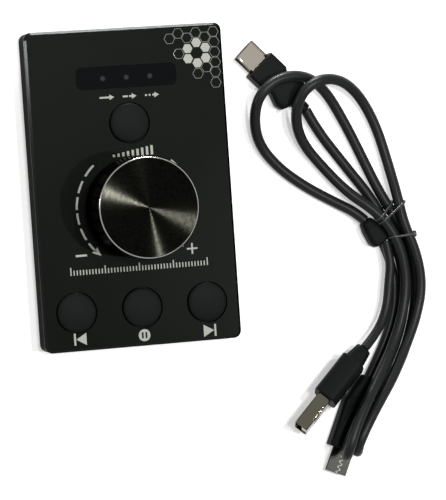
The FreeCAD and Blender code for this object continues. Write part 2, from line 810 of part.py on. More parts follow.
def usb_a_plug_moulding():
    """Tall moulding with rounded edges and a flattened neck."""
    body = eased_block(a_plug_length, a_plug_width, a_plug_height, a_plug_corner, a_plug_edge, a_plug_edge)
    end = tail_diameter + 2 * a_plug_neck_wall
    neck = stack([(a_plug_length, a_plug_neck_width, a_plug_neck_height, a_plug_neck_corner),
                  (a_plug_length + a_plug_neck_length, end, end, a_plug_neck_corner)])
    return lay_a(body.fuse(neck))


def usb_a_plug_shell():
    """Steel sleeve with two square windows in each broad side."""
    outer = bar_along(-a_shell_length, 0, a_shell_thickness, a_shell_width, a_shell_corner)
    inner = bar_along(-a_shell_length, 0, a_shell_thickness - 2 * a_shell_wall,
                      a_shell_width - 2 * a_shell_wall, a_shell_corner - a_shell_wall)
    sleeve = outer.cut(inner)
    x = -a_shell_length + a_window_from_tip
    for z in (-a_window_spread, a_window_spread):
        sleeve = sleeve.cut(box(x, 0, z - a_window_side / 2, a_window_side, 2 * a_shell_thickness,
                                a_window_side))
    return lay_a(sleeve)


def usb_a_tongue_side():
    """Distance from the axis to the inner wall that the tongue lies on."""
    return a_shell_thickness / 2 - a_shell_wall


def usb_a_plug_tongue():
    """Plastic tongue along one broad side of the sleeve."""
    side = usb_a_tongue_side()
    length = a_shell_length - a_tongue_recess
    return lay_a(box(-length / 2, -side + a_tongue_thickness / 2, -a_tongue_width / 2, length,
                     a_tongue_thickness, a_tongue_width))


def usb_a_plug_contacts():
    """Four contacts on the open face of the tongue."""
    length, width, thickness = a_contact_size
    y = -usb_a_tongue_side() + a_tongue_thickness + thickness / 2
    x = -a_shell_length + a_tongue_recess + 1 + length / 2
    rows = []
    for i in range(a_contact_count):
        z = (i - (a_contact_count - 1) / 2) * a_contact_pitch
        rows.append(lay_a(box(x, y, z - width / 2, length, thickness, width)))
    return rows


def micro_section(inset):
    """Six-sided section of the micro plug's shell, drawn across the axis."""
    top = micro_shell_width / 2 - inset
    floor = micro_shell_floor_width / 2 - inset
    half = micro_shell_height / 2 - inset
    points = [(-top, half), (top, half), (top, 0), (floor, -half), (-floor, -half), (-top, 0)]
    return [V(0, y, z) for y, z in points]


def micro_tube(inset, start, end):
    """Solid with the micro plug's section."""
    ring = micro_section(inset)
    face = Part.Face(Part.makePolygon(ring + ring[:1]))
    face.translate(V(start, 0, 0))
    return face.extrude(V(end - start, 0, 0))


def micro_plug_moulding():
    """Flat moulding with rounded edges and a round tapered neck."""
    body = eased_block(micro_plug_length, micro_plug_width, micro_plug_height, micro_plug_corner,
                       micro_plug_edge, micro_plug_shoulder)
    end = tail_diameter / 2 + micro_plug_neck_wall
    neck = Part.makeCone(end + micro_plug_neck_swell, end, micro_plug_neck_length,
                         V(micro_plug_length, 0, 0), V(1, 0, 0))
    return lay_micro(body.fuse(neck))


def micro_plug_shell():
    """Folded steel shell, narrower below."""
    shell = micro_tube(0, -micro_shell_length, 0).cut(micro_tube(micro_shell_wall, -micro_shell_length, 0))
    return lay_micro(shell)


def micro_tongue_centre():
    """Height of the tongue, against the upper wall of the shell."""
    return micro_shell_height / 2 - micro_shell_wall - micro_tongue_thickness / 2


def micro_plug_tongue():
    """Plastic tongue along the upper wall."""
    length = micro_shell_length - micro_tongue_recess
    z = micro_tongue_centre() - micro_tongue_thickness / 2
    return lay_micro(box(-length / 2, 0, z, length, micro_tongue_width, micro_tongue_thickness))


def micro_plug_contacts():
    """Five contacts under the tongue."""
    z = micro_tongue_centre() - micro_tongue_thickness / 2 - micro_contact_size[2] / 2
    start = -micro_shell_length + micro_tongue_recess + 0.3
    rows = strips_along(micro_contact_count, micro_contact_pitch, micro_contact_size, start, (z,))
    return [lay_micro(strip) for strip in rows]


# ---------------------------------------------------------------- cords
c_cord_end = on_axis(c_plug_front, c_plug_heading, c_plug_rear[0] + c_plug_neck_length, c_plug_height / 2)
a_cord_end = on_axis(a_plug_front, a_plug_heading, a_plug_length + a_plug_neck_length, a_plug_axis_height)
micro_cord_end = on_axis(micro_plug_front, micro_plug_heading, micro_plug_length + micro_plug_neck_length,
                         micro_plug_height / 2)
splitter_in = V(splitter_start[0], splitter_start[1], splitter_axis_height)
splitter_out_upper = V(splitter_end[0], splitter_end[1], splitter_upper_exit)
splitter_out_lower = V(splitter_end[0], splitter_end[1], splitter_lower_exit)

ARC_SHARE = 0.45


def cord(name, start, route, end, diameter):
    """Round cord along straight runs joined by tangent arcs, each as large as its two runs allow."""
    points = [start] + [V(*p) for p in route] + [end]
    edges = []
    radii = []
    here = points[0]
    for before, corner, after in zip(points, points[1:], points[2:]):
        back = before - corner
        ahead = after - corner
        reach = ARC_SHARE * min(back.Length, ahead.Length)
        turn = math.pi - back.getAngle(ahead)
        back.normalize()
        ahead.normalize()
        arc_start = corner + back * reach
        arc_end = corner + ahead * reach
        radius = reach / math.tan(turn / 2)
        middle = (back + ahead).normalize()
        arc_middle = corner + middle * (math.hypot(radius, reach) - radius)
        edges.append(Part.LineSegment(here, arc_start).toShape())
        edges.append(Part.Arc(arc_start, arc_middle, arc_end).toShape())
        radii.append(radius)
        here = arc_end
    edges.append(Part.LineSegment(here, points[-1]).toShape())
    path = Part.Wire(edges)
    ring = Part.Wire(Part.makeCircle(diameter / 2, points[0], points[1] - points[0]))
    tube = path.makePipeShell([ring], True, False)
    expected = math.pi * diameter ** 2 / 4 * path.Length
    print("%s: length %.1f mm, volume %.4f of section times length, arc radii %s" % (
        name, path.Length, tube.Volume / expected, " ".join("%.1f" % r for r in radii)))
    return tube


def splitter():
    """Moulding where the main cord divides into the two plug cords, one above the other."""
    run = V(splitter_end[0] - splitter_start[0], splitter_end[1] - splitter_start[1], 0)
    narrow = splitter_width - 2 * splitter_taper
    body = stack([(0, narrow, splitter_height - 2 * splitter_taper, splitter_corner),
                  (splitter_taper_length, splitter_width, splitter_height, splitter_corner),
                  (run.Length - splitter_taper_length, splitter_width, splitter_height, splitter_corner),
                  (run.Length, narrow, splitter_height, splitter_corner)])
    return laid(body, splitter_start, math.degrees(math.atan2(run.y, run.x)), 0, splitter_axis_height)


def cable_tie():
    """Three turns of covered wire round the hank and the twisted end."""
    turns = []
    for place, heading, left, right, low, high in tie_turns:
        loop = outline(right - left, high - low, tie_corner, 0, (left + right) / 2, (low + high) / 2)
        start = V((left + right) / 2, high, 0)
        section = Part.Wire(Part.makeCircle(tie_wire_radius, start, V(1, 0, 0)))
        turn = loop.makePipeShell([section], True, True)
        turn.rotate(V(0, 0, 0), V(1, 0, 0), 90)
        turn.rotate(V(0, 0, 0), UP, heading)
        turn.translate(V(place[0], place[1], 0))
        turns.append(turn)
    place, heading, left, right, low, high = tie_turns[-1]
    angle = math.radians(heading)
    out = V(math.cos(angle), math.sin(angle), 0)
    root = V(place[0], place[1], (low + high) / 2 + 1) + out * right
    twist = Part.makeCylinder(tie_twist_radius, tie_twist_length, root, out)
    turns[-1] = turns[-1].fuse(twist)
    return turns


# ---------------------------------------------------------------- every piece
def main():
    os.makedirs("parts", exist_ok=True)
    save("housing", housing())
    save("base_cover", base_cover())
    save("case_screws", case_screws())
    save("face_plate", face_plate())
    save("lamp_window", lamp_window())
    for (x, y), side in zip(foot_places(), ("front_left", "rear_left", "front_right", "rear_right")):
        save("foot_" + side, foot(x, y))
    save("main_board", main_board())
    save("lamps", lamps())
    save("light_guide", light_guide())
    save("controller_chip", controller_chip())
    save("crystal", box(crystal_place[0], crystal_place[1], z_parts, *crystal_size))
    save("capacitors", part_row(1, top_key_y + capacitor_shift))
    save("resistors", part_row(-1, top_key_y + resistor_shift))
    for name, (x, y) in key_places.items():
        save(name + "_cap", key_cap(x, y))
        save(name + "_switch", key_switch(x, y))
        save(name + "_plunger", key_plunger(x, y))
    save("encoder_body", encoder_body())
    save("encoder_pins", encoder_pins())
    save("encoder_shaft", encoder_shaft())
    save("push_plunger", push_plunger())
    save("encoder_washer", washer())
    save("encoder_nut", nut())
    save("knob", knob())
    save("knob_set_screw", knob_set_screw())
    save("usb_socket_shell", usb_socket_shell())
    save("usb_socket_tongue", usb_socket_tongue())
    save("usb_socket_contacts", usb_socket_contacts())
    save("usb_c_plug_moulding", usb_c_plug_moulding())
    save("usb_c_plug_shell", usb_c_plug_shell())
    save("usb_c_plug_insert", usb_c_plug_insert())
    save("usb_c_plug_contacts", usb_c_plug_contacts())
    save("usb_a_plug_moulding", usb_a_plug_moulding())
    save("usb_a_plug_shell", usb_a_plug_shell())
    save("usb_a_plug_tongue", usb_a_plug_tongue())
    save("usb_a_plug_contacts", usb_a_plug_contacts())
    save("micro_plug_moulding", micro_plug_moulding())
    save("micro_plug_shell", micro_plug_shell())
    save("micro_plug_tongue", micro_plug_tongue())
    save("micro_plug_contacts", micro_plug_contacts())
    save("main_cord", cord("main cord", c_cord_end, main_route, splitter_in, cord_diameter))
    save("usb_a_cord", cord("USB-A cord", splitter_out_upper, usb_a_route, a_cord_end, tail_diameter))
    save("micro_cord", cord("micro cord", splitter_out_lower, micro_route, micro_cord_end, tail_diameter))
    save("splitter", splitter())
    save("cable_tie", cable_tie())


main()
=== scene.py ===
# %% [markdown]
# # A USB volume knob with its lead tied beside it
# The object is a flat black metal box with one large turned knob, four round keys and a smoked lamp
# window. Its lead lies next to it, folded into a hank and held by a wire tie. The solids come from the
# CAD model, which stays where it is. This lesson gives them their surfaces, makes the soft lead as a
# smooth line, and redraws the pieces whose real form is rounder than a simple solid.

# %% Load the frame
import math
import bmesh
import bpy
import numpy as np
from mathutils import Matrix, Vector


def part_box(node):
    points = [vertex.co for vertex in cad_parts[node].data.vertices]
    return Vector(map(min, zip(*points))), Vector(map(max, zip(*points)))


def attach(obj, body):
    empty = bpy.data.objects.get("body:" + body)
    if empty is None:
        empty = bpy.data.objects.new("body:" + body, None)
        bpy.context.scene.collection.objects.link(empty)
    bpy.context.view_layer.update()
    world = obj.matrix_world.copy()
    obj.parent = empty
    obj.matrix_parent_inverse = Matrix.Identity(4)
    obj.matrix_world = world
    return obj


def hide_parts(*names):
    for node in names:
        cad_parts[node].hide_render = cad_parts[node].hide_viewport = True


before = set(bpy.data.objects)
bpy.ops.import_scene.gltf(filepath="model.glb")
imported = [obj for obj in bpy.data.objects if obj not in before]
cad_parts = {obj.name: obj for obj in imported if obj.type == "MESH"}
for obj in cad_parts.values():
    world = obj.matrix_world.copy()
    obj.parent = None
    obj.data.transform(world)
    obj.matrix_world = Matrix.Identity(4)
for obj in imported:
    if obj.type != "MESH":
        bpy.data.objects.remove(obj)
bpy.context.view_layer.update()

# %% [markdown]
# Everything below is drawn in millimetres and turned to metres once, where a mesh is made. Colours are
# written as the sRGB hex values that a screen shows. Blender mixes light in linear values, so one
# function turns them.

# %% Units, colours and objects
MM = 0.001


def linear(colour):
    """Linear RGBA of an sRGB hex colour: each channel through the sRGB curve."""
    channels = [int(colour[i:i + 2], 16) / 255 for i in (1, 3, 5)]
    return [c / 12.92 if c <= 0.04045 else ((c + 0.055) / 1.055) ** 2.4 for c in channels] + [1.0]


def placed(name, data):
    """A new object with that data, in the scene."""
    piece = bpy.data.objects.new(name, data)
    bpy.context.collection.objects.link(piece)
    return piece


# %% [markdown]
# The camera stands almost straight above the table, a little to the left, far away and with a long
# lens, so that the sides of the object stay nearly parallel. Its three axes are written as the columns
# of a rotation. The frame is portrait, so the sensor is measured along its height.

# %% Camera
LENS, FILM_HEIGHT = 190, 36
CAMERA_PLACE = (-174.67, 11.31, 802.98)
view_matrix = np.array([
    [0.96618, 0.07609, -0.24638], [-0.06829, 0.99686, 0.04006], [0.24865, -0.02188, 0.96835]])
first_turn, _, second_turn = np.linalg.svd(view_matrix)
camera_data = bpy.data.cameras.new("camera")
camera_data.lens = LENS
camera_data.sensor_fit = "VERTICAL"
camera_data.sensor_height = FILM_HEIGHT
camera_data.clip_start = 0.01
camera = placed("camera", camera_data)
pose = np.eye(4)
pose[:3, :3] = first_turn @ second_turn
pose[:3, 3] = np.array(CAMERA_PLACE) * MM
camera.matrix_world = Matrix(pose.tolist())
bpy.context.scene.camera = camera
bpy.context.scene.view_settings.view_transform = "Standard"
print("camera looks along", (-pose[:3, 2]).round(4))

# %% [markdown]
# A material is a small graph of nodes. One helper adds a node, sets its values and joins its inputs,
# so that each graph below reads as a list of what it is made of. The sums have short functions.

# %% Node helper


def add(tree, kind, inputs=None, **settings):
    """One shader node; inputs maps a socket's name or number to a value or to an output to link."""
    node = tree.nodes.new("ShaderNode" + kind)
    for key, value in settings.items():
        setattr(node, key, value)
    for key, value in (inputs or {}).items():
        if isinstance(value, bpy.types.NodeSocket):
            tree.links.new(value, node.inputs[key])
        else:
            node.inputs[key].default_value = value
    return node


def maths(tree, operation, *values):
    """Result of a Math node that does the operation on values, each a number or an output."""
    return add(tree, "Math", dict(enumerate(values)), operation=operation).outputs[0]


def vector_maths(tree, operation, *values):
    """Result of a Vector Math node: a number where the operation gives one, else a vector."""
    node = add(tree, "VectorMath", dict(enumerate(values)), operation=operation)
    return node.outputs["Value" if operation in ("DOT_PRODUCT", "LENGTH", "DISTANCE") else "Vector"]


def ranged(tree, value, start, end, first=0.0, last=1.0):
    """Number that goes from first to last as value goes from start to end, and stops there."""
    return add(tree, "MapRange", {"Value": value, "From Min": start, "From Max": end, "To Min": first,
                                  "To Max": last}).outputs[0]


def blank_material(name):
    """An empty node graph with its output node."""
    material = bpy.data.materials.new(name)
    material.use_nodes = True
    material.node_tree.nodes.clear()
    return material, material.node_tree


# %% [markdown]
# The studio is a white table under a white sky. Rays that come straight from the camera, and rays that
# a mirror or a clear body sends on, see the table and the sky at full strength, so they are white and
# metal shows them too. All other rays meet a weaker sky, and the lamps give the rest of the light. The
# lamps only reach the middle of the table, so further out the paper's own glow takes their place.

# %% Floor and sky


def shown(tree):
    """1 for a ray that shows the surroundings, from the camera, a mirror or a clear body, else 0."""
    path = add(tree, "LightPath").outputs
    direct = maths(tree, "MAXIMUM", path["Is Camera Ray"], path["Is Glossy Ray"])
    return maths(tree, "MAXIMUM", direct, path["Is Transmission Ray"])


SKY_LIGHT, TABLE_GLOW = 0.14, 0.46
GLOW_FROM, GLOW_FULL = 0.25, 1.0
TABLE_REACH, TABLE_TOP = 4, -0.0002
floor_mesh = bpy.data.meshes.new("floor")
corners = [(x * TABLE_REACH, y * TABLE_REACH, TABLE_TOP) for x, y in ((-1, -1), (1, -1), (1, 1), (-1, 1))]
floor_mesh.from_pydata(corners, [], [(0, 1, 2, 3)])
floor = placed("floor", floor_mesh)
table_paper, tree = blank_material("white_table_paper")
paper = add(tree, "BsdfDiffuse", {"Color": linear("#f2f2f0")})
away = vector_maths(tree, "LENGTH", add(tree, "TexCoord").outputs["Object"])
own_glow = ranged(tree, away, GLOW_FROM, GLOW_FULL, TABLE_GLOW)
seen_glow = maths(tree, "MULTIPLY", shown(tree), own_glow)
glow = add(tree, "Emission", {"Color": linear("#ffffff"), "Strength": seen_glow})
both = add(tree, "AddShader", {0: paper.outputs[0], 1: glow.outputs[0]})
add(tree, "OutputMaterial", {"Surface": both.outputs[0]})
floor_mesh.materials.append(table_paper)

world = bpy.data.worlds.new("studio")
world.use_nodes = True
bpy.context.scene.world = world
tree = world.node_tree
tree.nodes.clear()
sky_strength = ranged(tree, shown(tree), 0.0, 1.0, SKY_LIGHT)
sky = add(tree, "Background", {"Color": linear("#ffffff"), "Strength": sky_strength})
add(tree, "OutputWorld", {"Surface": sky.outputs[0]})

# %% [markdown]
# Three small lamps hang high up: one almost straight above, so the shadows stay under the pieces, one to
# the right and one behind. They are small and apart because a turned surface only shows clear wedges
# under small lamps, and each lamp lights its own pair of wedges on the knob. Two low strips, one on the
# left and one behind the case, are only there for the polished edge of the face to mirror.

# %% Lamps
def softbox(name, centre, aim, width, height, power):
    """A rectangular lamp at centre that faces aim, in metres and watts."""
    lamp = bpy.data.lights.new(name, "AREA")
    lamp.shape = "RECTANGLE"
    lamp.size, lamp.size_y, lamp.energy = width, height, power
    box = placed(name, lamp)
    centre, aim = np.array(centre, float), np.array(aim, float)
    back = (centre - aim) / np.linalg.norm(centre - aim)
    side = np.cross((0, 0, 1), back)
    side = side / np.linalg.norm(side)
    turn = np.eye(4)
    turn[:3, :3] = np.column_stack((side, np.cross(back, side), back))
    turn[:3, 3] = centre
    box.matrix_world = Matrix(turn.tolist())
    print("%s: %.2f W" % (name, power))


KNOB_SPOT = (0, -0.006, 0)
softbox("overhead_light", (-0.006, 0.073, 1.127), KNOB_SPOT, 0.09, 0.09, 4.2)
softbox("right_light", (0.408, -0.100, 1.047), KNOB_SPOT, 0.035, 0.035, 4.6)
softbox("back_light", (0.199, 0.238, 1.084), KNOB_SPOT, 0.02, 0.02, 2.8)
softbox("left_edge_strip", (-0.30, 0.058, 0.08), (-0.031, 0.03, 0.011), 0.03, 0.03, 0.22)
softbox("back_edge_strip", (0.032, 0.25, 0.019), (0.01, 0.049, 0.011), 0.10, 0.016, 1.25)

# %% [markdown]
# A jacketed cord is stiff and springy: it never kinks, so its line is one smooth curve. The points
# below keep within three millimetres of the line of its solid, and a NURBS curve of order 3 rounds them
# the way the real cord rounds its bends. The main cord leaves the splitter, makes the outer loop over
# the C plug, folds at the lower end above the micro plug, comes back through the tie to the inner loop,
# folds once more and ends in the C plug. Its points are listed from the C plug back.

# %% Cord routes
MAIN_DIAMETER, BRANCH_DIAMETER = 3.4, 3.0
SPLITTER_IN, SPLITTER_UP, SPLITTER_LOW = (75.7, -15.9, 3.3), (81.65, -23.1, 4.9), (81.5, -23.2, 1.7)
C_PLUG_END, A_PLUG_END, MICRO_PLUG_END = (58.76, 20.17, 3.2), (71.31, -55.982, 8.2), (72.068, -68.29, 3.1)
main_route = [
    C_PLUG_END, (62.02, 13.85, 2.5), (69.94, 3.04, 1.8), (78.94, -9.31, 2), (82.79, -17.55, 2.2),
    (86.3, -25.5, 2.4), (88, -34.5, 1.9), (87.6, -43.5, 1.8), (84.8, -53, 2.2), (79.8, -61.5, 4.8),
    (74.2, -68.5, 7.7), (69.6, -75, 8.9), (66, -81.2, 8.8), (63.4, -86.6, 8.7), (62.3, -89.1, 11.1),
    (61.3, -88.9, 14.2), (61.7, -86.4, 16.7), (64, -80.5, 16.5), (69, -72.5, 14.4), (75.5, -64.5, 10.3),
    (81.5, -55.5, 6.8), (85.6, -46.5, 5.5), (87.5, -36.5, 5.4), (86.5, -27, 6.2), (83, -18.5, 6.8),
    (77.82, -12.54, 6.2), (70.43, -6.59, 3.8), (63.32, 1.76, 2.2), (56.57, 10.06, 3.6), (53.9, 18.01, 7),
    (55.5, 25.2, 9.9), (61.14, 29.44, 10.8), (69.09, 29.2, 8.2), (76.23, 24.08, 4.2), (81.68, 14.12, 2.5),
    (84.7, 1.97, 2.9), (86.47, -9.47, 5.5), (87.53, -17.97, 6.8), (91.2, -27.05, 6.2), (92.74, -37.59, 5.4),
    (90.13, -47.54, 5.4), (85.5, -56.5, 6.8), (79.99, -65.38, 9.6), (73.3, -73.5, 12.6),
    (68.5, -79.98, 14.4), (65.72, -84.97, 14.5), (65.29, -87.83, 12.6), (66.34, -88.13, 10.1),
    (67.57, -85.57, 8.2), (70.14, -80.48, 8.3), (74.3, -74.9, 8.1), (78.89, -68.58, 5.2),
    (84.56, -61.42, 3.6), (88.7, -53, 1.9), (91.2, -44, 1.8), (92, -34.5, 1.9), (90.6, -26, 2.4),
    (86.73, -16.94, 3), (81.2, -7.53, 3.4), (77.32, 2.31, 2), (72.06, 14.29, 2.2), (65.43, 26.01, 3.9),
    (58, 31, 8.1), (49.5, 31, 9.3), (42.81, 26.6, 9.2), (40.84, 19.51, 6.4), (42.37, 10.92, 3.2),
    (48.5, 2.9, 2), (57.44, -4.12, 1.8), (67.58, -10.08, 2), (72.8, -13.06, 2.9), SPLITTER_IN]
usb_a_route = [
    SPLITTER_UP, (83.06, -29.38, 4.9), (81.92, -35.67, 4.8), (81.03, -42.29, 4.8), (78.67, -48.18, 5.6),
    (74.77, -52.89, 7.3), A_PLUG_END]
micro_route = [
    SPLITTER_LOW, (83.91, -29.37, 1.6), (84.79, -36, 1.6), (84.37, -42.57, 1.6), (82.65, -48.96, 1.6),
    (80.01, -55.14, 1.6), (77.16, -60.13, 2), (74.37, -64.44, 2.8), MICRO_PLUG_END]


# %% Cord curves
def cord_curve(name, route, diameter, node):
    """A round bar on the NURBS line whose control points are the route, given in millimetres. The bar's
    radius is each point's own radius times the bevel depth, so the depth is 1."""
    curve = bpy.data.curves.new(name, "CURVE")
    curve.dimensions = "3D"
    spline = curve.splines.new("NURBS")
    spline.points.add(len(route) - 1)
    weighted = np.column_stack((np.array(route) * MM, np.ones(len(route))))
    spline.points.foreach_set("co", weighted.ravel())
    spline.points.foreach_set("radius", np.full(len(route), diameter / 2 * MM))
    spline.order_u = 3
    spline.use_endpoint_u = True
    curve.resolution_u = 8
    curve.bevel_depth = 1.0
    curve.bevel_resolution = 5
    curve.use_fill_caps = True
    piece = placed(name, curve)
    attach(piece, "case")
    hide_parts(node)
    print("%s: %d points, %.1f mm thick" % (name, len(route), diameter))
    return piece


main_lead = cord_curve("main_lead", main_route[::-1], MAIN_DIAMETER, "main_cord")
usb_a_lead = cord_curve("usb_a_lead", usb_a_route, BRANCH_DIAMETER, "usb_a_cord")
micro_lead = cord_curve("micro_lead", micro_route, BRANCH_DIAMETER, "micro_cord")

# %% [markdown]
# The jackets above are the only soft pieces; the rest are finishes and hard forms. Nearly all finishes
# share one structure: a colour that drifts a little over some millimetres, because no surface is
# perfectly even, and a fine grain left by the way it was made, which tilts the light. Sizes are in
# millimetres, so that each grain can be checked against the real one.

# %% Colour drift and grain


def metres(point):
    """A point in millimetres as a tuple in metres."""
    return tuple(c * MM for c in point)


def mixed(tree, share, first, second):
    """Colour that passes from first to second as share goes from 0 to 1."""
    return add(tree, "Mix", {0: share, 6: first, 7: second}, data_type="RGBA").outputs[2]


def drift_and_grain(tree, colours, patch, grain, height):
    """Colour output and normal output: slow noise of size patch mixes the two colours, and fast noise
    of size grain lifts the surface by height, all in millimetres."""
    place = add(tree, "TexCoord").outputs["Object"]
    slow = add(tree, "TexNoise", {"Vector": place, "Scale": 1 / (patch * MM), "Detail": 2})
    colour = mixed(tree, slow.outputs[0], linear(colours[0]), linear(colours[1]))
    fast = add(tree, "TexNoise", {"Vector": place, "Scale": 1 / (grain * MM), "Detail": 1})
    bump = add(tree, "Bump", {"Height": fast.outputs[0], "Distance": height * MM, "Strength": 1})
    return colour, bump.outputs[0]


def surface(tree, colour, normal, **sockets):
    """Principled shader joined to the output; sockets are its own values, _ standing for a space."""
    values = {key.replace("_", " "): value for key, value in sockets.items()}
    shader = add(tree, "BsdfPrincipled", {"Base Color": colour, "Normal": normal, **values})
    add(tree, "OutputMaterial", {"Surface": shader.outputs[0]})


def finish(name, colours, patch, grain, height, roughness, **sockets):
    """A material with that drift and grain, and the shader's own values as sockets."""
    material, tree = blank_material(name)
    surface(tree, *drift_and_grain(tree, colours, patch, grain, height), Roughness=roughness, **sockets)
    return material


# %% [markdown]
# The case is aluminium, blasted with fine glass beads and anodised black. Blasting leaves dimples of
# about a tenth of a millimetre; they are drawn twice that size so that they show. The dyed oxide
# swallows most of the light and keeps a soft metallic sheen. The edge of the face plate is cut smooth
# before the dye goes in, so it mirrors its surroundings sharply. It is found by its slope: the face
# itself looks straight up, so a surface normal with a smaller upward part belongs to the edge. The dye
# also dims the reflection at a glancing angle, where bare metal would turn white.

# %% Metals of the case


DYED_GLANCE = (0.33, 0.33, 0.33, 1.0)
LEVEL_FROM = 0.9


def face_plate_aluminium():
    """Blasted black aluminium on the level face, polished black aluminium on the edge round it."""
    material, tree = blank_material("blasted_black_aluminium")
    colour, normal = drift_and_grain(tree, ("#050605", "#070807"), 30, 0.22, 0.002)
    face = add(tree, "BsdfPrincipled", {"Base Color": colour, "Normal": normal, "Metallic": 1.0,
                                        "Roughness": 0.32})
    edge = add(tree, "BsdfPrincipled", {"Base Color": linear("#1d1e1e"), "Metallic": 1.0, "Roughness": 0.16,
                                        "Specular Tint": DYED_GLANCE})
    upward = add(tree, "SeparateXYZ", {0: add(tree, "TexCoord").outputs["Normal"]}).outputs[2]
    on_edge = maths(tree, "LESS_THAN", upward, LEVEL_FROM)
    both = add(tree, "MixShader", {0: on_edge, 1: face.outputs[0], 2: edge.outputs[0]})
    add(tree, "OutputMaterial", {"Surface": both.outputs[0]})
    return material


plate_aluminium = face_plate_aluminium()
housing_aluminium = finish("housing_black_aluminium", ("#101111", "#141515"), 30, 0.22, 0.004, 0.4,
                           Metallic=1.0, Specular_Tint=DYED_GLANCE)
diamond_cut_aluminium = finish("diamond_cut_aluminium", ("#8e8e8a", "#9c9c98"), 8, 0.4, 0.0005, 0.2,
                               Metallic=1.0)
nickel_plated_steel = finish("nickel_plated_steel", ("#96908a", "#a39d97"), 6, 0.25, 0.0012, 0.3,
                             Metallic=1.0)
zinc_plated_steel = finish("zinc_plated_steel", ("#8d9092", "#9a9d9e"), 4, 0.3, 0.002, 0.35, Metallic=1.0)
gold_plating = finish("gold_plating", ("#c79a45", "#d2a650"), 2, 0.1, 0.0005, 0.25, Metallic=1.0)

# %% [markdown]
# The shells of the plugs are thin steel with a nickel plating, bright on the broad sides. Where the
# sheet is bent round to the narrow sides it turns away from the light; here that shade is painted, as a
# darker colour on the bends. The slope of the surface across the plug tells the broad sides from the
# bends: the mask is the part of the normal that lies along the broad side's own direction. The sheet of
# the micro plug meets itself in a seam whose two edges hook into each other, a wavy line in the middle
# of its broad side, drawn lighter than the plating: a painted highlight along the seam.

# %% Steel of the plug shells


SEAM_PERIOD, SEAM_SWING, SEAM_CORE, SEAM_EDGE = 1.7, 0.5, 0.12, 0.28


def seam_line(tree, place, heading, start):
    """1 on a line from start that swings like a sine about its heading in degrees, 0 away from it."""
    b = math.radians(heading)
    from_start = vector_maths(tree, "SUBTRACT", place, metres(start))
    along, beside = [
        vector_maths(tree, "DOT_PRODUCT", from_start, direction)
        for direction in ((math.cos(b), math.sin(b), 0), (-math.sin(b), math.cos(b), 0))]
    wave = maths(tree, "SINE", maths(tree, "MULTIPLY", along, 2 * math.pi / (SEAM_PERIOD * MM)))
    gap = maths(tree, "SUBTRACT", beside, maths(tree, "MULTIPLY", wave, SEAM_SWING * MM))
    return ranged(tree, maths(tree, "ABSOLUTE", gap), SEAM_CORE * MM, SEAM_EDGE * MM, 1.0, 0.0)


def shell_steel(name, broad, bend, across, seam=None):
    """Nickel plating with colour broad where the normal lies along across, and colour bend, a painted shade,
    where it does not. seam is the heading and the start of a wavy line drawn lighter: a painted highlight."""
    material, tree = blank_material(name)
    colour, normal = drift_and_grain(tree, (broad, broad), 6, 0.25, 0.0008)
    place = add(tree, "TexCoord").outputs
    flat = maths(tree, "ABSOLUTE", vector_maths(tree, "DOT_PRODUCT", place["Normal"], across))
    share = ranged(tree, flat, 0.75, 0.97)
    if seam:
        # Painted highlight: the seam's line gets a lighter colour than the plating.
        colour = mixed(tree, seam_line(tree, place["Object"], *seam), colour, linear("#a3a39d"))
    # Painted shade: the bends get the darker colour bend, the broad sides keep the plating's own colour.
    surface(tree, mixed(tree, share, linear(bend), colour), normal, Metallic=1.0, Roughness=0.1,
            Specular_Tint=DYED_GLANCE)
    return material


c_shell_steel = shell_steel("nickel_plated_c_shell", "#989187", "#55534d", (0, 0, 1))
# The A and micro shells are the same nickel plating as the C shell, drawn darker: painted shade.
a_shell_shaded_steel = shell_steel("shaded_nickel_plated_a_shell", "#5a574c", "#47453e", (-0.24, 0.232, 0.943))
micro_shell_shaded_steel = shell_steel("shaded_nickel_plated_micro_shell", "#50504c", "#3e3f3c", (0, 0, 1),
                                seam=(66.4, (62.9, -90.5, 0)))

# %% [markdown]
# Key caps are ABS from an eroded mould, with a matt grain. Jackets and plug mouldings are soft PVC,
# which shines a little in a broad band. The cover of the tie wire is polyethylene, glossier and harder.

# %% Plastics and rubber
matt_abs = finish("matt_abs", ("#0c0d0d", "#101111"), 12, 0.16, 0.006, 0.5, IOR=1.53, Specular_IOR_Level=0.04)
cover_abs = finish("cover_abs", ("#141516", "#191a1b"), 25, 0.35, 0.012, 0.55, IOR=1.53)
pvc_jacket = finish("pvc_jacket", ("#131514", "#191b1a"), 9, 0.3, 0.003, 0.36, IOR=1.53,
                    Specular_IOR_Level=0.12)
pvc_moulding = finish("pvc_moulding", ("#0b0d0d", "#0f1111"), 7, 0.22, 0.005, 0.5, IOR=1.53,
                      Specular_IOR_Level=0.04)
pe_wire_cover = finish("pe_wire_cover", ("#1e201f", "#262827"), 3, 0.25, 0.002, 0.3, IOR=1.51,
                       Specular_IOR_Level=0.3)
foot_rubber = finish("foot_rubber", ("#101010", "#161616"), 5, 0.2, 0.01, 0.75, IOR=1.52)
liquid_crystal_polymer = finish("liquid_crystal_polymer", ("#151516", "#1b1b1c"), 2, 0.12, 0.002, 0.45)
switch_nylon = finish("switch_nylon", ("#18181a", "#1e1e20"), 3, 0.2, 0.003, 0.5)
chip_epoxy = finish("chip_epoxy", ("#1a1b1d", "#202123"), 2, 0.08, 0.003, 0.6)
ceramic = finish("capacitor_ceramic", ("#8a6a45", "#96754e"), 1, 0.05, 0.001, 0.5)
solder_mask = finish("solder_mask", ("#0c3a22", "#104428"), 15, 0.4, 0.004, 0.35, IOR=1.55)
white_lamp_package = finish("white_lamp_package", ("#e4e2d6", "#eeece2"), 1, 0.1, 0.001, 0.4)
screen_ink = finish("screen_ink", ("#a6a89e", "#b0b2a8"), 4, 0.15, 0.003, 0.6, Specular_IOR_Level=0.2)
thin_ink = finish("thin_ink", ("#7f827a", "#8d9088"), 3, 0.15, 0.003, 0.6, Specular_IOR_Level=0.2)

# %% [markdown]
# The light guide is clear acrylic. The lamp window is acrylic dyed almost black and polished, and the
# three lamps behind it show as faint spots, by the distance to the lamps' centres: folding x at zero
# lets two distances serve all three.

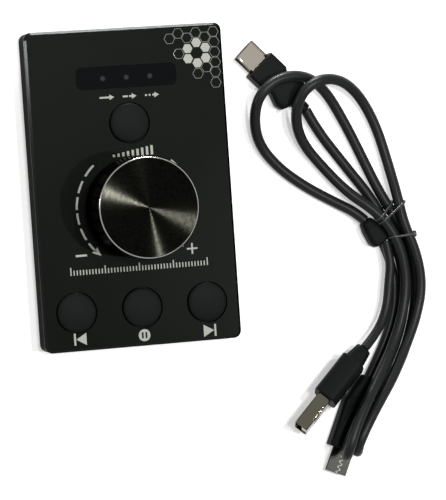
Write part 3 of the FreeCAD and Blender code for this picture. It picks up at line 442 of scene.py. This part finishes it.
# %% Acrylics
clear_acrylic = finish("clear_acrylic", ("#e8eeee", "#f2f6f6"), 5, 0.3, 0.0005, 0.08, IOR=1.49,
                       Transmission_Weight=0.9)
LAMP_Y, LAMP_PITCH, SPOT_CORE, SPOT_EDGE = 33.75, 7.4, 0.45, 0.95


def smoked_acrylic_window():
    """Dark polished acrylic with a soft spot over each lamp."""
    material, tree = blank_material("smoked_acrylic")
    colour, normal = drift_and_grain(tree, ("#060709", "#08090b"), 14, 0.5, 0.0004)
    place = add(tree, "SeparateXYZ", {0: add(tree, "TexCoord").outputs["Object"]}).outputs
    flat = add(tree, "CombineXYZ", {0: maths(tree, "ABSOLUTE", place[0]), 1: place[1]}).outputs[0]
    middle, side = [vector_maths(tree, "DISTANCE", flat, metres((x, LAMP_Y, 0))) for x in (0, LAMP_PITCH)]
    spot = ranged(tree, maths(tree, "MINIMUM", middle, side), SPOT_CORE * MM, SPOT_EDGE * MM, 1.0, 0.0)
    surface(tree, mixed(tree, spot, colour, linear("#313638")), normal, Roughness=0.12, IOR=1.49,
            Specular_IOR_Level=0.04)
    return material


smoked_acrylic = smoked_acrylic_window()

# %% [markdown]
# The knob is turned on a lathe and then anodised. The tool leaves a spiral so fine that it acts on
# light as rings: a reflection is drawn out across the rings and stays narrow along them, which gives
# the bright wedges that meet in the centre. The wedges come from anisotropy. Short stretches of groove,
# some darker and some lighter, add the broken texture inside them: they are noise whose cells are half a
# millimetre wide along the radius and long round the knob. The tool also leaves each groove with one
# side steeper than the other, drawn as a slight rise towards the rim, so the wedge on one side of the
# centre is brighter than its twin. On the side the grooves run round the knob too, so the sum of radius
# and height counts the grooves on both surfaces.

# %% Turned metal
KNOB_X, KNOB_Y = 0.0, -6.2
GROOVE_PITCH, GROOVE_HEIGHT, GROOVE_TURNS, RISE_TO_RIM = 0.5, 0.004, 8, 0.105


def turned_black_aluminium():
    """Anodised lathe finish with grooves about half a millimetre wide round the knob's axis."""
    material, tree = blank_material("turned_black_aluminium")
    place = add(tree, "TexCoord").outputs["Object"]
    from_axis = vector_maths(tree, "SUBTRACT", place, metres((KNOB_X, KNOB_Y, 0)))
    parts = add(tree, "SeparateXYZ", {0: from_axis}).outputs
    flat = add(tree, "CombineXYZ", {0: parts[0], 1: parts[1]}).outputs[0]
    radius = vector_maths(tree, "LENGTH", flat)
    count = maths(tree, "MULTIPLY", maths(tree, "ADD", radius, parts[2]), 1 / (GROOVE_PITCH * MM))
    around = vector_maths(tree, "MULTIPLY", vector_maths(tree, "NORMALIZE", flat),
                          (GROOVE_TURNS, GROOVE_TURNS, 0))
    cell = vector_maths(tree, "ADD", around, add(tree, "CombineXYZ", {2: count}).outputs[0])
    grooves = add(tree, "TexNoise", {"Vector": cell, "Scale": 1.0, "Detail": 2}).outputs[0]
    height = maths(tree, "MULTIPLY_ADD", grooves, GROOVE_HEIGHT * MM,
                   maths(tree, "MULTIPLY", radius, RISE_TO_RIM))
    bump = add(tree, "Bump", {"Height": height, "Distance": 1.0})
    ring = add(tree, "Tangent", direction_type="RADIAL", axis="Z")
    surface(tree, mixed(tree, grooves, linear("#000000"), linear("#151512")), bump.outputs[0], Metallic=1.0,
            Roughness=0.16, Anisotropic=1.0, Anisotropic_Rotation=0.25, Specular_Tint=DYED_GLANCE,
            Tangent=ring.outputs[0])
    return material


turned_aluminium = turned_black_aluminium()

# %% Finishes of the solids that stay
node_finish = {
    "face_plate": plate_aluminium, "housing": housing_aluminium, "base_cover": cover_abs,
    "lamp_window": smoked_acrylic, "light_guide": clear_acrylic, "lamps": white_lamp_package,
    "main_board": solder_mask, "controller_chip": chip_epoxy, "resistors": chip_epoxy, "capacitors": ceramic,
    "crystal": zinc_plated_steel, "case_screws": zinc_plated_steel, "encoder_body": zinc_plated_steel,
    "encoder_nut": nickel_plated_steel, "encoder_washer": nickel_plated_steel, "encoder_pins": gold_plating,
    "encoder_shaft": zinc_plated_steel, "knob_set_screw": zinc_plated_steel,
    "usb_a_plug_tongue": white_lamp_package,
}
last_word_finish = {
    "left": foot_rubber, "right": foot_rubber, "switch": switch_nylon, "plunger": switch_nylon,
    "contacts": gold_plating, "tongue": liquid_crystal_polymer, "insert": liquid_crystal_polymer,
    "shell": nickel_plated_steel,
}
for name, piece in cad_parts.items():
    material = node_finish.get(name, last_word_finish.get(name.split("_")[-1]))
    if material:
        for place in piece.material_slots:
            place.material = material
for piece in (main_lead, usb_a_lead, micro_lead):
    piece.data.materials.append(pvc_jacket)

# %% [markdown]
# Every hard piece below is a grid of points: one direction runs along a profile, the other goes round
# it. One function lists the grid's faces, one joins several grids, and one makes the mesh.

# %% Grid to mesh


def grid_faces(rows, columns, wrap_rows=False):
    """Quads between neighbours of a grid that is closed along its columns, as index rows of four."""
    last = rows if wrap_rows else rows - 1
    row, column = np.meshgrid(np.arange(last), np.arange(columns), indexing="ij")
    below, beside = (row + 1) % rows, (column + 1) % columns
    quads = np.stack((row * columns + column, row * columns + beside, below * columns + beside,
                      below * columns + column), axis=-1)
    return quads.reshape(-1, 4)


def joined(parts):
    """Points and faces of several (points, faces) pairs as one mesh's."""
    points, faces, used = [], [], 0
    for own_points, own_faces in parts:
        points.append(own_points.reshape(-1, 3))
        faces += [tuple(np.add(face, used)) for face in own_faces]
        used += len(points[-1])
    return np.vstack(points), faces


def make_piece(name, points, faces, materials, body, node=None, slot=None, face_material=None, sharp=35):
    """A shaded mesh object in metres from points in millimetres, riding on a body."""
    mesh = bpy.data.meshes.new(name)
    mesh.from_pydata((points.reshape(-1, 3) * MM).tolist(), [], [tuple(face) for face in faces])
    for material in materials:
        mesh.materials.append(material)
    if face_material is not None:
        mesh.polygons.foreach_set("material_index", np.asarray(face_material, dtype=np.int32))
    mesh.polygons.foreach_set("use_smooth", np.ones(len(mesh.polygons), dtype=bool))
    tidy = bmesh.new()
    tidy.from_mesh(mesh)
    bmesh.ops.remove_doubles(tidy, verts=tidy.verts, dist=0.0005 * MM)
    bmesh.ops.recalc_face_normals(tidy, faces=tidy.faces)
    tidy.to_mesh(mesh)
    tidy.free()
    mesh.set_sharp_from_angle(angle=math.radians(sharp))
    piece = placed(name, mesh)
    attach(piece, body)
    if node:
        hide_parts(node)
    print("%s: %d faces" % (name, len(mesh.polygons)))
    return piece


# %% [markdown]
# A turned piece is a profile of radius and height carried round an upright axis. Real edges are never
# sharp, so each corner of the profile is rounded by a short curve before it is carried round.

# %% Turned profiles


def rounded_profile(corners, steps=4):
    """Points of a profile whose corners (radius, height, rounding) become quadratic curves: each starts
    and ends the rounding's length away from the corner and leans towards it."""
    corners = np.array(corners, float)
    points = [corners[0, :2]]
    for before, corner, after in zip(corners, corners[1:], corners[2:]):
        if corner[2] == 0:
            points.append(corner[:2])
            continue
        back = before[:2] - corner[:2]
        ahead = after[:2] - corner[:2]
        start = corner[:2] + back / np.linalg.norm(back) * corner[2]
        end = corner[:2] + ahead / np.linalg.norm(ahead) * corner[2]
        share = np.linspace(0, 1, steps + 1)[:, None]
        points.extend((1 - share) ** 2 * start + 2 * share * (1 - share) * corner[:2] + share ** 2 * end)
    points.append(corners[-1, :2])
    return np.array(points)


def carried_round(profile, centre, columns):
    """Grid of a profile turned about the upright axis at centre: x = r cos a, y = r sin a, z = height."""
    angle = np.arange(columns) * 2 * math.pi / columns
    radius, height = profile[:, :1], profile[:, 1:]
    return np.stack((centre[0] + radius * np.cos(angle), centre[1] + radius * np.sin(angle),
                     height + 0 * angle), axis=-1)


# %% [markdown]
# A key cap is a shallow dome on a short round wall, with a flange below that keeps it behind the
# plate, and it is hollow underneath round the pusher that rests on its switch. The dome is part of a
# large circle.

# %% Key caps
KEY_RADIUS, FLANGE_RADIUS, HOLLOW_RADIUS, PUSHER_RADIUS = 6.0, 6.9, 5.2, 2.3
FLANGE_HEIGHT, HOLLOW_DEPTH, DOME_DROP = 0.8, 2.0, 0.5
for key in ("previous_key", "pause_key", "next_key", "top_key"):
    low, high = np.array(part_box(key + "_cap")) / MM
    centre = (low + high)[:2] / 2
    foot, crown = low[2], high[2]
    run = np.linspace(0, 5.35, 14)
    dome = np.column_stack((run, crown - DOME_DROP * (run / 5.7) ** 2, 0 * run))
    ledge, ceiling = foot + FLANGE_HEIGHT, foot + HOLLOW_DEPTH
    wall = [(KEY_RADIUS - 0.02, crown - 0.62, 0.28), (KEY_RADIUS, ledge, 0.0), (FLANGE_RADIUS, ledge, 0.1),
            (FLANGE_RADIUS, foot, 0.1), (HOLLOW_RADIUS, foot, 0.1), (HOLLOW_RADIUS, ceiling, 0.2),
            (PUSHER_RADIUS, ceiling, 0.2), (PUSHER_RADIUS, foot, 0.1), (0, foot, 0)]
    profile = rounded_profile(list(map(tuple, dome)) + wall)
    grid = carried_round(profile, centre, 96)
    make_piece(key + "_dome", grid, grid_faces(*grid.shape[:2]), [matt_abs], key, key + "_cap", "key_plastic",
               sharp=50)

# %% [markdown]
# The knob is turned from bar: a flat top, a narrow chamfer that is cut after anodising and so stays
# bright, a plain side, and a recess below that drops over the nut. A threaded hole for the set screw
# goes in from the back. The lathe gives a grid with no hole, so a small block of its side is left out
# and a patch fills it: rings of points that pass from the block's edge to the hole's circle and then
# go straight in.

# %% Knob
low, high = np.array(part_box("knob")) / MM
knob_radius, knob_foot, knob_top = (high[0] - low[0]) / 2, low[2], high[2]
KNOB_COLUMNS, TOP_ROWS, SIDE_ROWS, HOLE_HALF = 192, 24, 36, 4
HOLE_HEIGHT, HOLE_RADIUS = 21.0, 1.5
RING_WIDTH, FOOT_CHAMFER = 0.6, 0.4
RECESS_RADIUS, RECESS_TOP, BORE_RADIUS, BORE_TOP = 12.8, 16.0, 3.02, 27.0
side_heights = np.linspace(knob_top - 0.62, knob_foot + 0.42, SIDE_ROWS)
below = [(knob_radius - FOOT_CHAMFER, knob_foot, 0.08), (RECESS_RADIUS, knob_foot, 0.2),
         (RECESS_RADIUS, RECESS_TOP, 0.4), (BORE_RADIUS, RECESS_TOP, 0.1), (BORE_RADIUS, BORE_TOP, 0.1),
         (0, BORE_TOP, 0)]
level_top = np.column_stack((np.linspace(0, knob_radius - 0.64, TOP_ROWS), np.full(TOP_ROWS, knob_top)))
chamfer = [(knob_radius - RING_WIDTH, knob_top - 0.02), (knob_radius - 0.3, knob_top - 0.31),
           (knob_radius - 0.02, knob_top - RING_WIDTH)]
upper = np.vstack((level_top, chamfer))
side = np.column_stack((np.full(SIDE_ROWS, knob_radius), side_heights))
lower = rounded_profile([(knob_radius, knob_foot + 0.42, 0)] + below)[1:]
knob_profile = np.vstack((upper, side, lower))
knob_grid = carried_round(knob_profile, (KNOB_X, KNOB_Y), KNOB_COLUMNS)
knob_faces = grid_faces(*knob_grid.shape[:2])
face_row = np.repeat(np.arange(len(knob_profile) - 1), KNOB_COLUMNS)
face_column = np.tile(np.arange(KNOB_COLUMNS), len(knob_profile) - 1)
first_side = len(upper)
hole_row = first_side + int(np.argmin(abs(side_heights - HOLE_HEIGHT)))
hole_column = KNOB_COLUMNS // 4
in_block = (abs(face_row + 0.5 - hole_row) < HOLE_HALF) & (abs(face_column + 0.5 - hole_column) < HOLE_HALF)
steps = np.arange(-HOLE_HALF, HOLE_HALF)
edge_rows = np.concatenate((steps * 0 - HOLE_HALF, steps, steps * 0 + HOLE_HALF, -steps))
edge_columns = np.concatenate((steps, steps * 0 + HOLE_HALF, -steps, steps * 0 - HOLE_HALF))
block_edge = knob_grid[hole_row + edge_rows, hole_column + edge_columns]
spokes = block_edge[:, [0, 2]] - np.array([KNOB_X, HOLE_HEIGHT])
circle = HOLE_RADIUS * spokes / np.linalg.norm(spokes, axis=1)[:, None]
rings = [block_edge]
for share in (0.5, 1.0):
    across = spokes * (1 - share) + circle * share
    depth = np.sqrt(knob_radius ** 2 - across[:, 0] ** 2)
    rings.append(np.column_stack((KNOB_X + across[:, 0], KNOB_Y + depth, HOLE_HEIGHT + across[:, 1])))
for depth in (knob_radius - 0.4, 9.0, BORE_RADIUS + 0.08):
    rings.append(np.column_stack((KNOB_X + circle[:, 0], np.full(len(circle), KNOB_Y + depth),
                                  HOLE_HEIGHT + circle[:, 1])))
patch = np.array(rings)
patch_start = knob_grid.size // 3
patch_faces = grid_faces(*patch.shape[:2]) + patch_start
bottom = patch_start + (len(rings) - 1) * len(block_edge) + np.arange(len(block_edge))
ring_row = first_side - 3
bright = ((face_row == ring_row) & ~in_block)[~in_block]
all_faces = [tuple(f) for f in knob_faces[~in_block]] + [tuple(f) for f in patch_faces] + [tuple(bottom)]
material_index = np.concatenate((bright.astype(int), np.zeros(len(patch_faces) + 1, int)))
all_points = np.vstack((knob_grid.reshape(-1, 3), patch.reshape(-1, 3)))
make_piece("knob_turned", all_points, all_faces, [turned_aluminium, diamond_cut_aluminium], "knob", "knob",
           "knob_aluminium", material_index, sharp=25)

# %% [markdown]
# The three plugs and the splitter are moulded round the cord. Their form is a rounded section that
# changes along the cord, given as a list of stations: place along the axis, width, height and
# squareness. A squareness of 2 is an ellipse, and a larger one is a rectangle with ever smaller
# corners. The values between the stations are joined by straight lines and then averaged over a short
# window, which eases every bend as a mould maker's file would.

# %% Mouldings


def eased_stations(stations, window, step=0.15):
    """Places along the axis and the eased width, height and squareness there."""
    stations = np.array(stations, float)
    along = np.arange(stations[0, 0] - window, stations[-1, 0] + window, step)
    reach = int(window / step / 2) * 2 + 1
    blur = np.ones(reach) / reach
    columns = [np.convolve(np.interp(along, stations[:, 0], values), blur, "same")
               for values in stations[:, 1:].T]
    keep = (along >= stations[0, 0] - 1e-9) & (along <= stations[-1, 0] + 1e-9)
    return along[keep], [column[keep] for column in columns]


def laid(points, front, heading, lean, height):
    """Points drawn along +X turned by lean about X, by heading about Z and moved to the plug's place."""
    a, b = math.radians(lean), math.radians(heading)
    roll = np.array([[1, 0, 0], [0, math.cos(a), -math.sin(a)], [0, math.sin(a), math.cos(a)]])
    yaw = np.array([[math.cos(b), -math.sin(b), 0], [math.sin(b), math.cos(b), 0], [0, 0, 1]])
    return points @ (yaw @ roll).T + np.array([front[0], front[1], height])


def moulding(name, stations, window, edge, place, node, columns=72):
    """Closed solid through the eased sections y = w/2 |cos t|^(2/n), z = h/2 |sin t|^(2/n), signed, whose
    first and last sections shrink by edge so that the ends are rounded."""
    along, (width, height, square) = eased_stations(stations, window)
    from_end = np.minimum(along - along[0], along[-1] - along)
    shrink = edge * (1 - np.sqrt(np.clip(1 - (1 - np.clip(from_end / edge, 0, 1)) ** 2, 0, 1)))
    t = (np.arange(columns) + 0.5) * 2 * math.pi / columns
    power = 2 / square[:, None]
    y = (width[:, None] / 2 - shrink[:, None]) * np.sign(np.cos(t)) * abs(np.cos(t)) ** power
    z = (height[:, None] / 2 - shrink[:, None]) * np.sign(np.sin(t)) * abs(np.sin(t)) ** power
    grid = np.stack((along[:, None] + 0 * y, y, z), axis=-1)
    faces = [tuple(f) for f in grid_faces(*grid.shape[:2])]
    last = (grid.shape[0] - 1) * columns
    faces += [tuple(range(columns)), tuple(range(last, last + columns))]
    return make_piece(name, laid(grid, *place), faces, [pvc_moulding], "case", node, "plug_moulding",
                      sharp=60)


C_PLACE = ((44.3, 35.4), -46.5, 0, 3.2)
A_PLACE = ((57.0, -70.8), 46.0, -19.5, 8.2)
MICRO_PLACE = ((63.5, -87.9), 66.4, 0, 3.1)
SPLITTER_PLACE = ((75.7, -15.9), -57.5, 0, 3.3)
c_moulding = moulding("c_plug_grip", [
    (0, 10.4, 6.4, 9), (6.9, 10.4, 6.4, 9), (7.5, 9.2, 5.9, 7), (9.4, 9.0, 5.8, 6), (12.9, 11.9, 6.1, 5),
    (15.0, 11.2, 5.9, 5), (16.4, 5.6, 4.6, 3), (18.0, 4.0, 3.9, 2), (21.0, 3.8, 3.8, 2)], 0.7, 0.4, C_PLACE,
    "usb_c_plug_moulding")
a_moulding = moulding("a_plug_grip", [
    (0, 8.1, 15.0, 5), (14.9, 8.1, 15.0, 5), (15.2, 6.6, 6.2, 4), (20.6, 4.9, 4.6, 2.4)], 0.5, 0.5, A_PLACE,
    "usb_a_plug_moulding")
micro_moulding = moulding("micro_plug_grip", [
    (0, 10.4, 6.2, 7), (15.6, 10.4, 6.2, 7), (17.4, 8.8, 5.4, 5), (21.4, 6.6, 4.8, 3), (24.6, 4.2, 4.0, 2)],
    0.9, 0.45, MICRO_PLACE, "micro_plug_moulding")
splitter_moulding = moulding("splitter_lump", [
    (0, 4.0, 4.6, 3), (3.2, 5.7, 6.3, 3.5), (7.4, 6.6, 6.3, 4), (9.1, 5.2, 6.1, 3.5)], 0.9, 0.8,
    SPLITTER_PLACE, "splitter")

# %% [markdown]
# The shells come from the CAD solids. A copy of each is merged, because the solid's mesh is made of
# loose triangles, and its edges are eased by a small bevel, since bent sheet has no sharp edge.

# %% Plug shells


def eased_copy(name, node, material, ease):
    """A merged copy of a CAD solid's mesh with its sharp edges eased by a width in millimetres."""
    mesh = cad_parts[node].data.copy()
    mesh.name = name
    work = bmesh.new()
    work.from_mesh(mesh)
    bmesh.ops.remove_doubles(work, verts=work.verts, dist=0.001 * MM)
    bmesh.ops.dissolve_limit(work, angle_limit=math.radians(1), verts=work.verts, edges=work.edges)
    bmesh.ops.recalc_face_normals(work, faces=work.faces)
    work.to_mesh(mesh)
    work.free()
    mesh.materials.clear()
    mesh.materials.append(material)
    mesh.polygons.foreach_set("material_index", np.zeros(len(mesh.polygons), np.int32))
    piece = placed(name, mesh)
    bevel = piece.modifiers.new("ease", "BEVEL")
    bevel.width, bevel.segments, bevel.angle_limit = ease * MM, 2, math.radians(40)
    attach(piece, "case")
    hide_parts(node)
    print("%s: %d faces" % (name, len(mesh.polygons)))
    return piece


c_shell = eased_copy("c_plug_shell", "usb_c_plug_shell", c_shell_steel, 0.05)
a_shell = eased_copy("a_plug_shell", "usb_a_plug_shell", a_shell_shaded_steel, 0.1)
micro_shell = eased_copy("micro_plug_shell_metal", "micro_plug_shell", micro_shell_shaded_steel, 0.06)

# %% [markdown]
# The tie is a steel wire in a black plastic cover, pulled tight three times round the hank and twisted
# at the end. A wire under tension touches only the outermost strands and runs straight between them.
# That path follows from where the strands cross the plane of a turn: in each direction of the plane,
# the wire lies on the strand that reaches furthest that way. The strands' lines are read from their
# curves.

# %% Wire tie


def strand_line(lead):
    """Points in millimetres on a lead's NURBS line, read from a copy of its curve that has no bevel."""
    curve = lead.data.copy()
    curve.bevel_depth, curve.resolution_u = 0, 16
    bare = bpy.data.objects.new("bare_line", curve)
    mesh = bpy.data.meshes.new_from_object(bare)
    points = np.empty(3 * len(mesh.vertices))
    mesh.vertices.foreach_get("co", points)
    bpy.data.objects.remove(bare)
    bpy.data.curves.remove(curve)
    bpy.data.meshes.remove(mesh)
    return points.reshape(-1, 3) / MM


def crossings(lines, place, heading, reach):
    """Where the lines cross the upright plane through place, as (along the heading, height) pairs."""
    b = math.radians(heading)
    along, normal = np.array([math.cos(b), math.sin(b)]), np.array([-math.sin(b), math.cos(b)])
    found = []
    for line in lines:
        offset = (line[:, :2] - place) @ normal
        i = np.flatnonzero(offset[:-1] * offset[1:] < 0)
        share = (offset[i] / (offset[i] - offset[i + 1]))[:, None]
        hit = line[i] + share * (line[i + 1] - line[i])
        found.append(np.column_stack(((hit[:, :2] - place) @ along, hit[:, 2])))
    found = np.vstack(found)
    return found[abs(found[:, 0]) < reach], along, normal


def tight_turn(lines, place, heading, radius, reach, steps=144):
    """Closed path round the strands that cross the plane, and the plane's normal: for each direction d
    the point c + radius d, c being the crossing with the largest c . d."""
    centres, along, normal = crossings(lines, np.array(place), heading, reach)
    angle = np.arange(steps) * 2 * math.pi / steps
    out = np.column_stack((np.cos(angle), np.sin(angle)))
    flat = centres[np.argmax(centres @ out.T, axis=0)] + radius * out
    flat[:, 1] = np.maximum(flat[:, 1], TIE_RADIUS)
    path = np.column_stack((place + flat[:, :1] * along, flat[:, 1]))
    return path, np.array([normal[0], normal[1], 0.0])


def wire_along(path, plane_normal, radius, closed, columns=12):
    """Grid of circles of that radius round a flat or nearly flat path. At each point the circle lies in
    the plane of the path's normal and the cross product of that with the path's direction."""
    tangent = np.roll(path, -1, axis=0) - np.roll(path, 1, axis=0)
    if not closed:
        tangent[0], tangent[-1] = path[1] - path[0], path[-1] - path[-2]
    tangent /= np.linalg.norm(tangent, axis=1)[:, None]
    across = np.cross(tangent, plane_normal)
    across /= np.linalg.norm(across, axis=1)[:, None]
    lift = np.cross(across, tangent)
    angle = np.arange(columns) * 2 * math.pi / columns
    return (path[:, None] + radius * (np.cos(angle)[:, None] * across[:, None]
                                      + np.sin(angle)[:, None] * lift[:, None]))


TIE_RADIUS, STRAND_TO_WIRE, END_RADIUS = 0.42, 2.05, 0.36
TIE_TURNS = (((82.4, -12.9), 39.0, 4.6), ((84.1, -13.8), 36.0, 9.0), ((87.7, -21.4), 4.0, 9.0))
strand_lines = [strand_line(lead) for lead in (main_lead, usb_a_lead, micro_lead)]
tie_parts = []
for place, heading, reach in TIE_TURNS:
    loop, normal = tight_turn(strand_lines, place, heading, STRAND_TO_WIRE, reach)
    grid = wire_along(loop, normal, TIE_RADIUS, closed=True)
    print("turn at", place, "spans", np.ptp(loop, axis=0).round(1))
    tie_parts.append((grid, grid_faces(*grid.shape[:2], wrap_rows=True)))
END_STEPS = 40
tie_end = loop[np.argmax(loop[:, 0])]
turns = np.linspace(0, 2 * math.pi, END_STEPS)
for phase in (0, math.pi):
    end_path = tie_end + np.column_stack((np.linspace(-0.2, 0.3, END_STEPS), 0.7 * np.cos(turns + phase),
                                          0.5 * np.sin(turns + phase)))
    grid = wire_along(end_path, np.array([0, 0, 1.0]), END_RADIUS, closed=False)
    ring = np.arange(grid.shape[1])
    tie_parts.append((grid, [*grid_faces(*grid.shape[:2]), ring, ring + (END_STEPS - 1) * len(ring)]))
tie_piece = make_piece("wire_tie", *joined(tie_parts), [pe_wire_cover], "case", "cable_tie", "tie_plastic",
                       sharp=60)

# %% [markdown]
# The marks on the face are screen printed: a film of ink a few hundredths of a millimetre thick. Each
# mark is a closed outline raised by that film. There are no words: a row of rising bars and a fine
# scale stand in their places.

# %% Printed marks
INK, DIAL_RADIUS = 0.03, 18.3
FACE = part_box("face_plate")[1][2] / MM
marks, fine_marks = [], []


def bar(x0, y0, x1, y1, width):
    """Straight stroke from one point to another with square ends."""
    start, end = np.array([x0, y0], float), np.array([x1, y1], float)
    side = np.array([start[1] - end[1], end[0] - start[0]])
    side *= width / 2 / np.linalg.norm(side)
    return np.array([start - side, end - side, end + side, start + side])


def arc_dash(first, last, radius=DIAL_RADIUS, width=0.66, steps=10):
    """Stroke along the circle round the knob between two angles in degrees."""
    angle = np.radians(np.linspace(first, last, steps))
    rim = np.column_stack((np.cos(angle), np.sin(angle)))
    return np.vstack(((radius + width / 2) * rim, ((radius - width / 2) * rim)[::-1])) + [KNOB_X, KNOB_Y]


def hexagon(x, y, size):
    """Flat-topped hexagon, corner to centre being size."""
    angle = np.radians(np.arange(0, 360, 60))
    return np.column_stack((x + size * np.cos(angle), y + size * np.sin(angle)))


def disc_strips(x, y, radius, slots):
    """A disc without its upright slots, as pieces between two curves. A slot is left, right, half height."""
    pieces = []
    cuts = sorted({-radius, radius} | {edge for slot in slots for edge in slot[:2]})
    for left_edge, right_edge in zip(cuts, cuts[1:]):
        run = np.linspace(left_edge, right_edge, 9)
        arch = np.sqrt(np.clip(radius ** 2 - run ** 2, 0, None))
        slot = [s for s in slots if s[0] == left_edge]
        floor_line = np.full(9, slot[0][2]) if slot else -arch
        pieces.append(np.vstack((np.column_stack((run, floor_line)), np.column_stack((run, arch))[::-1])))
        if slot:
            pieces.append(pieces[-1] * [1, -1])
    return [piece + [x, y] for piece in pieces]


for first, last in ((131.7, 144.9), (150.1, 162.3), (166.3, 178.5), (181.9, 192.8), (197.1, 209.1),
                    (213.2, 223.5)):
    marks += [arc_dash(first, last), arc_dash(180 - first, 180 - last)]
tip, flank, half = math.radians(230.2), math.radians(222.0), 1.15
head = np.array([(radius * math.cos(angle), radius * math.sin(angle)) for radius, angle in (
    (DIAL_RADIUS, tip), (DIAL_RADIUS - half, flank), (DIAL_RADIUS + half, flank))])
marks += [head + [KNOB_X, KNOB_Y], head * [-1, 1] + [KNOB_X, KNOB_Y]]
marks += [bar(-19.68, -19.8, -16.12, -19.8, 0.62), bar(15.3, -20.2, 18.7, -20.2, 0.52),
          bar(17.0, -18.5, 17.0, -19.94, 0.52), bar(17.0, -20.46, 17.0, -21.9, 0.52)]
marks += [bar(-21.7, -43.4, -21.7, -47.1, 0.6), [(-21.3, -45.3), (-18.1, -47.2), (-18.1, -43.4)],
          bar(22.6, -44.1, 22.6, -47.8, 0.6), [(22.2, -45.95), (18.9, -44.05), (18.9, -47.85)]]
marks += disc_strips(0.1, -45.7, 1.85, [(-0.85, -0.3, 0.95), (0.3, 0.85, 0.95)])
ARROW_Y, ARROW_STROKE = 27.9, 0.55
for stroke_from, head_at in ((-8.8, -4.2), (0.45, 2.8), (7.75, 9.9)):
    marks += [bar(stroke_from, ARROW_Y, head_at - 1.5, ARROW_Y, ARROW_STROKE),
              [(head_at, ARROW_Y), (head_at - 1.5, 28.75), (head_at - 1.5, 27.05)]]
for left, right in ((-1.5, 0.05), (5.5, 6.1), (6.65, 7.2)):
    marks.append(bar(left, ARROW_Y, right, ARROW_Y, ARROW_STROKE))
for x, y in ((22.76, 43.08), (25.54, 41.44), (25.48, 38.26), (22.73, 36.79), (19.84, 38.25), (19.87, 41.36)):
    marks.append(hexagon(x, y, 1.58))
for x, y in ((14.35, 44.68), (17.14, 46.18), (19.88, 44.66), (22.75, 46.15), (25.55, 44.67), (28.31, 46.17),
             (28.39, 43.06), (28.42, 39.96), (16.99, 39.91), (28.41, 36.77), (25.53, 35.37), (22.71, 33.55),
             (28.28, 33.75), (28.18, 30.45)):
    outer, inner = hexagon(x, y, 1.76), hexagon(x, y, 1.62)
    for i in range(6):
        fine_marks.append(np.array([outer[i], outer[(i + 1) % 6], inner[(i + 1) % 6], inner[i]]))
BARS, BAR_PITCH = 9, 1.5
for i in range(BARS):
    marks.append(bar(-5.6 + BAR_PITCH * i, 9.6, -5.6 + BAR_PITCH * i, 10.3 + 0.27 * i, 0.75))
SCALE_STEPS, SCALE_WIDTH, SCALE_Y = 44, 43.0, -25.7
for i in range(SCALE_STEPS + 1):
    x = SCALE_WIDTH * (i / SCALE_STEPS - 0.5)
    marks.append(bar(x, SCALE_Y, x, SCALE_Y + (2.4 if i % 11 == 0 else 1.5), 0.36))


def raised(outline, base, height):
    """Points and faces of a flat outline raised into a closed film."""
    area = np.sum(outline[:, 0] * np.roll(outline[:, 1], -1) - np.roll(outline[:, 0], -1) * outline[:, 1])
    outline = outline if area > 0 else outline[::-1]
    n = len(outline)
    points = np.vstack([np.column_stack((outline, np.full(n, level))) for level in (base, base + height)])
    i = np.arange(n)
    sides = np.column_stack((i, (i + 1) % n, (i + 1) % n + n, i + n))
    return points, [tuple(i[::-1]), tuple(i + n)] + [tuple(s) for s in sides]


def printed(name, outlines, material):
    """One mesh of all the raised outlines."""
    films = [raised(np.asarray(outline, float), FACE - 0.005, INK + 0.005) for outline in outlines]
    make_piece(name, *joined(films), [material], "case", sharp=10)


printed("face_print", marks, screen_ink)
printed("fine_face_print", fine_marks, thin_ink)
